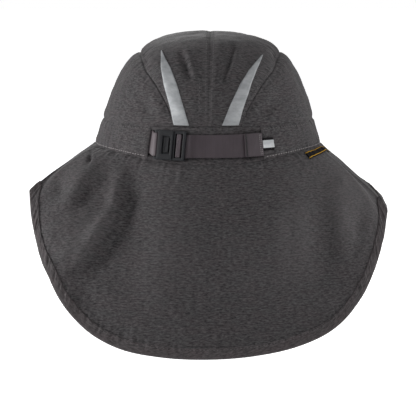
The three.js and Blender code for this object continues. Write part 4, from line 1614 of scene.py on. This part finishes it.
@dataclass
class Brim:
    """The foam-stiffened brim round the front, and the strip that binds its edge."""

    band: HeadBand
    cape: NeckCape
    thickness: float = 2.6
    edge_knots: tuple[tuple[float, float, float], ...] = (
        (152.5, -35, -51.5), (152, 10, -49), (144, 60, -44), (121, 108, -37), (80, 148, -29),
        (28, 170, -24), (-28, 170, -23), (-80, 148, -26), (-119, 108, -33), (-138, 60, -37),
        (-145.5, 10, -38), (-149, -35, -37),
    )
    crest: Rumple = field(default_factory=lambda: Rumple(41, 60))
    ripple: Rumple = field(default_factory=lambda: Rumple(42, 18))
    rim_pucker: Pucker = field(default_factory=lambda: Pucker(43, 8.0))
    edge_pucker: Pucker = field(default_factory=lambda: Pucker(44, 7.5))

    def __post_init__(self) -> None:
        """Runs the outer edge from the right wing round the front to the left wing."""
        self.edge_line = Course([self.cape.edge(1.0), *self.edge_knots, self.cape.edge(-1.0)])

    def azimuth(self, place: Array) -> Array:
        """Gives the azimuths of places on the band."""
        return lerp(self.cape.wing, 2 * math.pi - self.cape.wing, place)

    def sheet(self, place: Array, reach: Array) -> Array:
        """Gives the bare brim.

        Args:
            place: From the right wing, 0, round to the left wing, 1.
            reach: From the rim, 0, to the edge, 1.

        Returns:
            The points of its upper face.
        """
        rim, edge = self.band.seam(self.azimuth(place)), self.edge_line.at(place)
        from_wing = np.minimum(place, 1 - place)
        middle = (rim + edge) / 2 + stack(0, 0, 6 * smoothstep(from_wing, 0.05, 0.4))
        wing = (1 - smoothstep(from_wing, 0, 0.16))[..., None]
        first, second = self.cape.bends(rim, edge, 1 + 0 * from_wing, 1 + 0 * from_wing)
        first = lerp((rim + 2 * middle) / 3, first, wing)
        second = lerp((2 * middle + edge) / 3, second, wing)
        return curve(rim, first, second, edge, reach)

    def normal(self, place: Array, reach: Array) -> Array:
        """Gives the bare brim's outward direction."""
        return sheet_normal(self.sheet, 0, place, reach)

    def wing_normal(self, side: Array, reach: Array) -> Array:
        """Gives the direction that cape and brim share where they meet, so that their edges align."""
        own = self.normal(np.where(side > 0, 0.0, 1.0), reach)
        return unit(self.cape.normal(side, reach) + own)

    def skin(self, place: Array, reach: Array, stand: Any) -> Array:
        """Gives the worn brim.

        Args:
            place: From the right wing, 0, round to the left wing, 1.
            reach: From the rim, 0, to the edge, 1.
            stand: How far off its upper face.

        Returns:
            The points.
        """
        place, reach = np.broadcast_arrays(np.asarray(place, float), np.asarray(reach, float))
        wing = 1 - smoothstep(np.minimum(place, 1 - place), 0, 0.04)
        turned = self.wing_normal(np.where(place < 0.5, 1.0, -1.0), reach)
        normal = unit(lerp(self.normal(place, reach), turned, wing[..., None]))
        points = self.sheet(place, reach)
        width = np.linalg.norm(self.edge_line.at(place) - self.sheet(place, 0 * reach), axis=-1)
        run = place * self.edge_line.length
        relief = 0.5 * self.crest.at(points) * smoothstep(reach, 0, 0.25) + 0.14 * self.ripple.at(points)
        relief = relief + 0.5 * self.rim_pucker.at(run * 0.5) * np.exp(-reach * width / 6)
        to_edge = (1 - reach) * width
        at_edge = np.exp(-np.maximum(to_edge - 8, 0) / 6) * smoothstep(to_edge, 5, 9)
        relief = relief + 0.3 * self.edge_pucker.at(run) * at_edge
        relief = (relief - 0.9 * bell(reach * width, 1.0)) * (1 - wing)
        return points + normal * (relief + stand)[..., None] + self.band.tuck(self.azimuth(place), reach)

    def build(self) -> None:
        """Makes the brim, its binding and their stitching."""
        places = (0.5 + 0.5003 * spread(340))[:, None]
        bound = share_from_edge(self.sheet, places, 1.3)
        reach = crowded(72, 0.0, 1.0, 0.35)[None] * bound
        outer, inner = self.skin(places, reach, 0.0), self.skin(places, reach, -self.thickness)
        flat = self.sheet(places, reach)
        pattern = np.stack([flat[..., 0] * 1.05, flat[..., 1] * 1.08], -1)
        brim = Skin.wall(outer, inner, pattern).make("brim_cloth", CLOTH)
        place_piece(brim, ["brim"])
        binding = Binding(self.sheet, self.skin, self.thickness, self.edge_pucker, self.edge_line.length)
        binding.build("brim_binding", 0.5 + 0.4997 * spread(560), np.linspace(0.006, 0.994, 2600))


@dataclass
class Reflectors:
    """The two tapering reflective strips on the back of the crown."""

    crown: Crown
    lift: float = 0.35
    thickness: float = 0.4
    left: tuple[tuple[float, float, float], ...] = (
        (23.2, -15.7, -28.2), (40.5, -21.2, -33.2), (56.5, -26.6, -37.6), (69, -32, -39.8),
        (76, -36.5, -40.4), (82, -40, -41),
    )  # height, inner and outer edge across
    right: tuple[tuple[float, float, float], ...] = (
        (23.2, 11.5, 25.2), (40.5, 18.2, 30.2), (56.5, 25.6, 35), (67, 32.4, 39.2), (73.5, 38.4, 42.4),
        (78.5, 43.4, 44.6),
    )

    def build(self) -> None:
        """Makes both strips."""
        for hand, rows in ((Hand.LEFT, self.left), (Hand.RIGHT, self.right)):
            heights, inside, outside = np.array(rows).T
            height = np.linspace(heights[0], heights[-1], 90)[:, None]
            inner, outer = np.interp(height, heights, inside), np.interp(height, heights, outside)
            share = crowded(14, pull=0.6)[None]
            across = lerp(inner, outer, share)
            top = self.crown.behind(across, height, self.lift + self.thickness)
            base = self.crown.behind(across, height, -0.3)
            rim = np.minimum(share, 1 - share) * np.abs(outer - inner)
            top = top - self.crown.normal(top) * (0.3 * bell(rim, 0.35))[..., None]
            pattern = np.stack(np.broadcast_arrays(across, height), -1)
            piece = Skin.wall(top, base, pattern).make(f"reflector_{hand.label}_film", FILM)
            place_piece(piece, [f"reflector_{hand.label}"])


@dataclass
class Strap:
    """The webbing in the band's window: the stub that holds the buckle, the tail and its folded end."""

    band: HeadBand
    width: float = 19.2
    thickness: float = 0.8
    height: float = 6.3
    left_rise: float = 1.2
    right_rise: float = 0.6
    flat_middle: float = -32.0
    flat_half: float = 13.6
    flat_blend: float = 4.5
    ladder_bar: tuple[float, float, float, float] = (-24.8, -23.2, -1.0, 0.9)  # its ends, low and high face
    end_bar: tuple[float, float, float, float] = (-44.2, -42.9, -1.9, -0.6)
    touch: float = 0.3
    tab_layer: float = 0.7

    def __post_init__(self) -> None:
        """Finds the flat seat of the buckle."""
        point, tangent, up, normal = (v[0] for v in self.place(np.array([self.flat_middle])))
        self.seat_point, self.seat_tangent, self.seat_up, self.seat_normal = point, tangent, up, normal

    def line(self, along: Array) -> tuple[Array, Array]:
        """Gives the strap's middle line on the band.

        Args:
            along: The distances along X.

        Returns:
            Its points and the band's outward directions there.
        """
        share = along / self.band.window_right
        rise = np.where(along < 0, self.left_rise * np.abs(share) ** 3, self.right_rise * share**2)
        azimuth = self.band.azimuth_across(along)
        rim = self.band.rim_height(azimuth)
        level = (self.height + rise - rim) / (self.band.crown.foot - rim)
        return self.band.point(azimuth, level), self.band.normal(azimuth, level)

    def place(self, along: Array) -> tuple[Array, Array, Array, Array]:
        """Gives the strap's frame.

        Args:
            along: The distances along X.

        Returns:
            The points, tangents, ups and normals.
        """
        point, normal = self.line(along)
        run = self.line(along + 0.5)[0] - self.line(along - 0.5)[0]
        tangent = unit(run - normal * (run * normal).sum(-1, keepdims=True))
        return point, tangent, np.cross(normal, tangent), normal

    def point(self, along: Array, rise: Array, stand: Array) -> Array:
        """Gives points of the strap, which the buckle holds straight over one stretch.

        Args:
            along: The distance along X.
            rise: The distance up from the middle line.
            stand: The distance off the face of the band.

        Returns:
            The points.
        """
        away = np.abs(along - self.flat_middle)
        flatness = (1 - smoothstep(away, self.flat_half, self.flat_half + self.flat_blend))[..., None]
        point, _, up, normal = self.place(along)
        slide = ((along - self.flat_middle) / self.seat_tangent[0])[..., None]
        flat = self.seat_point + self.seat_tangent * slide
        out, over = unit(lerp(normal, self.seat_normal, flatness)), unit(lerp(up, self.seat_up, flatness))
        return lerp(point, flat, flatness) + over * rise[..., None] + out * stand[..., None]

    def webbing(
        self,
        line: list[tuple[float, float]],
        width: float,
        rounds: int = 2,
        lift: Callable[[Array], Array] = lambda along: 0 * along,
        bulge: float = 0.0,
    ) -> Skin:
        """Lays a strip of webbing.

        Args:
            line: The places along X and the stands off the band that its middle line runs through.
            width: The strip's width.
            rounds: How often the corners of the line are cut to round them.
            lift: How far the strip moves up at a distance along X.
            bulge: How far the middle of its width stands out.

        Returns:
            The closed strip.
        """
        path = np.array(line, float)
        for _ in range(rounds):
            near, far = lerp(path[:-1], path[1:], 0.25), lerp(path[:-1], path[1:], 0.75)
            path = np.vstack([path[:1], np.stack([near, far], 1).reshape(-1, 2), path[-1:]])
        lengths = np.concatenate([[0], np.cumsum(np.linalg.norm(np.diff(path, axis=0), axis=1))])
        places = np.unique(np.concatenate([lengths, np.arange(0, lengths[-1], 0.9)]))
        path = np.stack([np.interp(places, lengths, path[:, i]) for i in (0, 1)], -1)
        run = unit(np.gradient(path, axis=0))
        right = np.array([0, 0.25, 0.5, 0.75, 0.9, 0.95, 0.985, 1])
        across = np.concatenate([-right[:0:-1], right])
        swell = 1 + 0.12 * bell(np.abs(across) - 0.93, 0.03)
        half = self.thickness / 2 * np.where(np.abs(across) > 0.98, 0.45, swell)
        faces = []
        for sense in (1, -1):
            shift = np.stack([-run[:, 1], run[:, 0]], -1)[:, None] * (sense * half[None, :, None])
            where = path[:, None] + shift
            stand = where[..., 1] + bulge * (1 - across**2)[None]
            rise = across[None] * width / 2 + lift(where[..., 0])
            faces.append(self.point(where[..., 0], rise, stand))
        pattern = np.stack(np.broadcast_arrays(places[:, None], across[None] * width / 2), -1)
        return Skin.wall(faces[0], faces[1], pattern)

    def build(self) -> None:
        """Makes the stub, the tail, its end and the tab with its stripe."""
        turn = self.thickness / 2 + self.touch
        low_x, high_x, _, high = self.ladder_bar
        top = high + turn
        under, over, end = -2.65, -1.55, -0.4
        tail = self.webbing(
            [
                (self.band.window_right + 9, under), (low_x - 3, under), (low_x - turn, under),
                (low_x - turn, under + 1), (low_x - turn, top - 0.6), (low_x - turn, top), (low_x, top),
                (high_x, top), (high_x + turn, top), (high_x + turn, top - 0.6), (high_x + turn, over),
                (high_x + turn + 0.8, over), (26, over), (33, end), (44.2, end),
            ],
            self.width,
        )
        place_piece(tail.make("strap_tail_webbing", WEBBING), ["strap_tail"])
        from_x, to_x, low, high = self.end_bar
        top, low = high + turn, low - turn
        stub = self.webbing(
            [
                (self.band.window_left - 8, -2.45), (self.band.window_left + 1.2, -2.45),
                (-46.2, top - 1.1), (from_x - 0.2, top), (to_x + turn, top), (to_x + turn, low), (to_x, low),
                (-45.8, low),
            ],
            self.width,
            lift=lambda along: 1.8 * smoothstep(from_x - along, 0.4, 5),
        )
        place_piece(stub.make("strap_stub_webbing", STUB), ["strap_stub"])
        layer = self.tab_layer + self.thickness + self.touch
        path = [(30.2, layer - 0.9), (31.4, layer - 0.2), (35, layer), (44.2, layer)]
        fold = self.webbing(path, self.width)
        place_piece(fold.make("strap_end_fold", WEBBING), ["strap_end"])
        tab = self.webbing([(37, self.tab_layer), (53.6, self.tab_layer)], 10.8)
        place_piece(tab.make("pull_tab_tape", TAB), ["pull_tab"])
        stripe = self.webbing([(44.6, layer), (53.4, layer)], 6.4)
        place_piece(stripe.make("pull_tab_stripe", STRIPE), ["pull_tab_reflector"])
        self.stitch(layer)

    def stitch(self, layer: float) -> None:
        """Sews the folded end and the tab down, and puts a dark bartack where the folded end's step casts
        its shadow: a painted shadow.

        Args:
            layer: The stand of the top layer's middle.
        """
        face = layer + self.thickness / 2
        rows = [self.row(x, 1, face, STRAP_STITCH) for x in (42.2, 43.4)]
        # The dark bartacks across the start of the fold paint the shadow line under the folded end's raised
        # step.
        shadow_tacks = [self.row(x, 0.3, face - 0.35, BARTACK) for x in (31.0, 31.5)]
        place_piece(Skin.joined(shadow_tacks).make("strap_end_shadow_bartack", THREAD_PAINTED_SHADOW, 180))
        place_piece(Skin.joined(rows).make("strap_end_stitching", THREAD_LIGHT, 180))

    def row(self, along: float, inset: float, face: float, kind: StitchRow) -> Skin:
        """Sews one row across the webbing.

        Args:
            along: Its distance along X.
            inset: How far from both edges it ends.
            face: The stand of the face that it lies on.
            kind: The kind of row.

        Returns:
            The stitches.
        """
        rise = np.linspace(-self.width / 2 + inset, self.width / 2 - inset, 60)
        place = np.full_like(rise, along)
        return sewn(lambda s: self.point(place, rise, np.full_like(rise, face + s)), kind)


def pick(*pieces: bpy.types.Object) -> None:
    """Selects some pieces alone.

    Args:
        *pieces: The pieces, of which the first becomes the active one.
    """
    bpy.ops.object.select_all(action="DESELECT")
    for piece in pieces:
        piece.select_set(True)
    bpy.context.view_layer.objects.active = pieces[0]


@dataclass
class Buckle:
    """The two halves of the fastened side release buckle, which lie on the strap's flat stretch."""

    strap: Strap
    half_height: float = 12.1
    rail_inside: float = 10.0
    low: float = -2.2
    bevel: float = 0.35

    def at(self, along: float) -> float:
        """Turns a distance along X into one along the buckle from its middle."""
        return (along - self.strap.flat_middle) / float(self.strap.seat_tangent[0])

    def block(self, name: str, x: Span, y: Span, z: Span, corner: float = 0.0) -> bpy.types.Object:
        """Adds a block in the buckle's own frame.

        Args:
            name: The block's name.
            x: Its range along X of the hat.
            y: Its range up.
            z: Its range off the band.
            corner: The radius of its four upright edges.

        Returns:
            The new object, which is the active one.
        """
        bpy.ops.object.select_all(action="DESELECT")
        ends = [(self.at(x[0]), self.at(x[1])), y, z]
        middle = [(a + b) / 2 * MM for a, b in ends]
        scale = [(b - a) * MM for a, b in ends]
        bpy.ops.mesh.primitive_cube_add(size=1, location=middle, scale=scale)
        piece = bpy.context.object
        piece.name = name
        bpy.ops.object.transform_apply(location=True, rotation=True, scale=True)
        if corner:
            with Selection(piece) as work:
                for edge in work.edges:
                    a, b = edge.verts
                    edge.select_set(abs(a.co.z - b.co.z) > 1e-5)
            bpy.ops.mesh.bevel(offset=corner * MM, segments=4, affect="EDGES")
            bpy.ops.object.mode_set(mode="OBJECT")
        return piece

    def recess(self, piece: bpy.types.Object, x: Span, half: float, depth: float) -> None:
        """Sinks a rounded rectangle into the top of a block.

        Args:
            piece: The block.
            x: The rectangle's range along X of the hat.
            half: Half its height.
            depth: How deep it goes.
        """
        with Selection(piece) as work:
            top = max(f.calc_center_median().z for f in work.faces)
            for face in work.faces:
                if face.normal.z > 0.9 and face.calc_center_median().z > top - 1e-5:
                    face.select_set(True)
        bpy.ops.mesh.inset(thickness=0.6 * MM)
        self.fit_selection(piece, x, half)
        bpy.ops.mesh.extrude_region_move(TRANSFORM_OT_translate={"value": (0, 0, -depth * MM)})
        bpy.ops.object.mode_set(mode="OBJECT")

    def fit_selection(self, piece: bpy.types.Object, x: Span, half: float) -> None:
        """Moves and scales what is selected.

        Args:
            piece: The block that it is part of.
            x: The range along X of the hat that it then takes.
            half: Half its height then.
        """
        work = bmesh.from_edit_mesh(piece.data)
        chosen = np.array([v.co for v in work.verts if v.select])
        low, high = chosen.min(0), chosen.max(0)
        middle = (low + high) / 2
        start, end = self.at(x[0]) * MM, self.at(x[1]) * MM
        wide, tall = (end - start) / (high[0] - low[0]), 2 * half * MM / (high[1] - low[1])
        bpy.ops.transform.resize(value=(wide, tall, 1), center_override=middle)
        bpy.ops.transform.translate(value=((start + end) / 2 - middle[0], -middle[1], 0))

    def window(self, piece: bpy.types.Object, x: Span, half: float) -> None:
        """Cuts a rounded rectangle right through a block.

        Args:
            piece: The block.
            x: The rectangle's range along X of the hat.
            half: Half its height.
        """
        with Selection(piece) as work:
            for face in work.faces:
                if abs(face.normal.z) > 0.9:
                    face.select_set(True)
        bpy.ops.mesh.inset(thickness=0.6 * MM)
        self.fit_selection(piece, x, half)
        bpy.ops.mesh.delete(type="FACE")
        with Selection(piece) as work:
            for edge in work.edges:
                edge.select_set(edge.is_boundary)
        bpy.ops.mesh.bridge_edge_loops()
        bpy.ops.object.mode_set(mode="OBJECT")

    def join(self, name: str, pieces: list[bpy.types.Object], node: str) -> bpy.types.Object:
        """Rounds the edges of some blocks, joins them and sets them on the strap.

        Args:
            name: The finished piece's name.
            pieces: The blocks.
            node: The CAD node that the piece stands for.

        Returns:
            The finished piece.
        """
        for piece in pieces:
            pick(piece)
            soft = piece.modifiers.new("rounding", "BEVEL")
            soft.width, soft.segments, soft.limit_method = self.bevel * MM, 3, "ANGLE"
            soft.angle_limit, soft.use_clamp_overlap = math.radians(50), True
            bpy.ops.object.modifier_apply(modifier=soft.name)
        pick(*pieces)
        bpy.ops.object.join()
        whole = bpy.context.object
        whole.name = whole.data.name = name
        bpy.ops.object.shade_smooth_by_angle(angle=math.radians(32))
        self.rub(whole.data)
        strap = self.strap
        turn = Matrix(np.stack([strap.seat_tangent, strap.seat_up, strap.seat_normal], 1).tolist()).to_4x4()
        whole.data.transform(Matrix.Translation(Vector(strap.seat_point) * MM) @ turn)
        whole.data.materials.append(PLASTIC.material())
        return place_piece(whole, [node])

    @staticmethod
    def rub(mesh: bpy.types.Mesh) -> None:
        """Marks the rounded edges of a mesh as rubbed.

        Args:
            mesh: The mesh.
        """
        normals = np.zeros(len(mesh.vertices) * 3)
        mesh.vertices.foreach_get("normal", normals)
        straight = np.abs(normals.reshape(-1, 3)).max(1)
        rubbed = clamp((0.985 - straight) / 0.2) * 0.8
        mesh.attributes.new(WEAR_AND_PAINTED_LIGHT, "FLOAT", "POINT").data.foreach_set("value", rubbed)

    def build(self) -> None:
        """Makes both halves."""
        tall, rail, low = self.half_height, self.rail_inside, self.low
        start, end, bar_low, bar_high = self.strap.end_bar
        body = self.block("buckle_body", (-40.9, -28.4), (-tall, tall), (low, 3.0), 1.1)
        self.recess(body, (-37.1, -30.4), 7.5, 1.9)
        rails = [
            self.block("buckle_rail", (start, -40.4), (a, b), (low, 0.8), 0.4)
            for a, b in ((rail, tall), (-tall, -rail))
        ]
        bar = self.block("buckle_end_bar", (start, end), (-tall, tall), (bar_low, bar_high))
        self.join("buckle_female_half", [body, *rails, bar], "buckle_female")
        frame = self.block("buckle_frame", (-28.1, -18.6), (-tall, tall), (low, 2.0), 0.9)
        self.window(frame, (-26.9, -20.6), rail)
        start, end, bar_low, bar_high = self.strap.ladder_bar
        bar = self.block("buckle_ladder_bar", (start, end), (-rail - 0.5, rail + 0.5), (bar_low, bar_high))
        tongue = self.block("buckle_tongue", (-29.2, -27.0), (-9.3, 9.3), (-1, 1))
        button = self.block("buckle_button", (-35.6, -31.9), (-6, 6), (0.4, 2.5), 0.5)
        self.recess(button, (-35.0, -32.5), 5.3, 0.25)
        self.join("buckle_male_half", [frame, bar, tongue, button], "buckle_male")


class Selection:
    """A piece in edit mode, whose selection is set in code."""

    def __init__(self, piece: bpy.types.Object) -> None:
        """Takes the piece."""
        self.piece = piece

    def __enter__(self) -> bmesh.types.BMesh:
        """Opens edit mode by edges with nothing selected.

        Returns:
            The mesh that is edited.
        """
        if bpy.context.mode != "EDIT_MESH":
            pick(self.piece)
            bpy.ops.object.mode_set(mode="EDIT")
        bpy.ops.mesh.select_mode(type="EDGE")
        bpy.ops.mesh.select_all(action="DESELECT")
        return bmesh.from_edit_mesh(self.piece.data)

    def __exit__(self, *problem: object) -> None:
        """Passes the selection on to the mesh.

        Args:
            *problem: What went wrong inside, which is passed on too.
        """
        work = bmesh.from_edit_mesh(self.piece.data)
        work.select_flush_mode()
        bmesh.update_edit_mesh(self.piece.data)


@dataclass
class SideLabel:
    """The small folded label that hangs from the rim seam and lies on the cape."""

    cape: NeckCape
    first: float = 0.645
    last: float = 0.955
    top: float = 0.036
    bottom: float = 0.108
    cloth: float = 0.7
    half_width: float = 5.8

    def build(self) -> None:
        """Makes the label, with a soft fold along its lower edge."""
        place, share = np.linspace(self.first, self.last, 60)[:, None], crowded(18, pull=0.7)[None]
        fall = lerp(self.top, self.bottom, share)
        lean = 0.5 * smoothstep(share, 0.2, 1)
        top = self.cape.skin(place, fall, 0.6 + self.cloth + lean + 0 * place)
        base = self.cape.skin(place, fall, 0.45 + lean * 0.4 + 0 * place)
        rim = np.minimum(share, 1 - share) * 2 * self.half_width
        down = unit(base - top)
        top = top + down * (0.35 * bell(rim, 0.5))[..., None]
        along, rise = (place - self.first) * 129, (share - 0.5) * 2 * self.half_width
        pattern = np.stack(np.broadcast_arrays(along, rise), -1)
        piece = Skin.wall(top, base, pattern).make("side_label_tape", LABEL)
        place_piece(piece, ["side_label"])


@dataclass
class Studio:
    """A plain pale floor, soft light from both sides and the camera of the photograph."""

    floor_height: float = -0.1725
    camera_place: tuple[float, float, float] = (0.0, -1.9851, 0.1867)
    camera_aim: tuple[float, float, float] = (0.0, 0.0, -0.057)
    lens: float = 198.94
    room_light: float = 0.12
    softbox_side: float = 1.0
    softboxes: tuple[tuple[str, tuple[float, float, float], float], ...] = (
        ("left_softbox", (-1.65, -0.15, 0.3), 33),
        ("near_left_softbox", (-1.1, -1.3, 0.4), 5),
        ("near_right_softbox", (1.15, -1.05, 0.8), 11),
        ("right_softbox", (1.55, 0.15, 0.4), 12),
    )  # name, place in metres and power in watts

    def camera(self) -> None:
        """Sets up the camera."""
        data = bpy.data.cameras.new("camera")
        data.lens, data.sensor_width, data.sensor_height = self.lens, 36.0, 36.0
        data.clip_end = 60
        camera = bpy.data.objects.new("camera", data)
        camera.location = self.camera_place
        aim = Vector(self.camera_aim) - Vector(self.camera_place)
        camera.rotation_euler = aim.to_track_quat("-Z", "Y").to_euler()
        bpy.context.scene.collection.objects.link(camera)
        bpy.context.scene.camera = camera

    def softbox(self, name: str, place: tuple[float, float, float], power: float) -> None:
        """Adds a square soft light that faces the hat.

        Args:
            name: The light's name.
            place: Where it stands, in metres.
            power: Its power in watts.
        """
        data = bpy.data.lights.new(name, "AREA")
        data.shape, data.size, data.energy = "SQUARE", self.softbox_side, power
        light = bpy.data.objects.new(name, data)
        light.location = place
        light.rotation_euler = (Vector((0, 0, -0.03)) - Vector(place)).to_track_quat("-Z", "Y").to_euler()
        bpy.context.scene.collection.objects.link(light)

    def surroundings(self) -> None:
        """Adds the floor and the even white light of the room."""
        bpy.ops.object.select_all(action="DESELECT")
        bpy.ops.mesh.primitive_plane_add(size=16, location=(0, 0, self.floor_height))
        floor = bpy.context.object
        floor.name = FLOOR
        bpy.ops.object.transform_apply(location=True, rotation=True, scale=True)
        recipe = Recipe(FLOOR)
        where = recipe.node("TexCoord", {}, output="Object")
        grain = recipe.noise(where, 3, 0.6, 30.0)
        base = recipe.blend(grain, (0.93, 0.93, 0.93, 1), (0.96, 0.96, 0.96, 1))
        glow = {"Emission_Color": (1, 1, 1, 1), "Emission_Strength": 0.95}
        floor.data.materials.append(recipe.finish(Base_Color=base, Roughness=0.9, **glow))
        own = bpy.data.collections.new("floor_only")  # its glow keeps it white and doesn't light the hat
        own.objects.link(floor)
        floor.light_linking.receiver_collection = own
        world = bpy.data.worlds.new("white_room")
        bpy.context.scene.world = world
        world.use_nodes = True
        tree = world.node_tree
        seen = tree.nodes.new("ShaderNodeLightPath")
        level = tree.nodes.new("ShaderNodeMapRange")
        level.inputs["To Min"].default_value, level.inputs["To Max"].default_value = self.room_light, 1.0
        tree.links.new(seen.outputs["Is Camera Ray"], level.inputs["Value"])
        tree.nodes["Background"].inputs["Color"].default_value = (1, 1, 1, 1)
        tree.links.new(level.outputs[0], tree.nodes["Background"].inputs["Strength"])

    def build(self) -> None:
        """Sets up the whole studio."""
        view = bpy.context.scene.view_settings
        view.view_transform, view.look, view.exposure, view.gamma = "Standard", "None", 0.0, 1.0
        self.camera()
        self.surroundings()
        for softbox in self.softboxes:
            self.softbox(*softbox)


def main() -> None:
    """Builds the hat piece by piece around the frame."""
    logging.basicConfig(level=logging.INFO, format="%(name)s: %(message)s")
    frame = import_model()
    LOG.info("the frame has %d nodes", len(frame["nodes"]))
    Studio().build()
    crown = Crown()
    band = HeadBand(crown)
    cape = NeckCape(band)
    brim = Brim(band, cape)
    crown.build()
    band.build()
    cape.build(brim)
    brim.build()
    Reflectors(crown).build()
    strap = Strap(band)
    strap.build()
    Buckle(strap).build()
    SideLabel(cape).build()


if __name__ == "__main__":
    main()
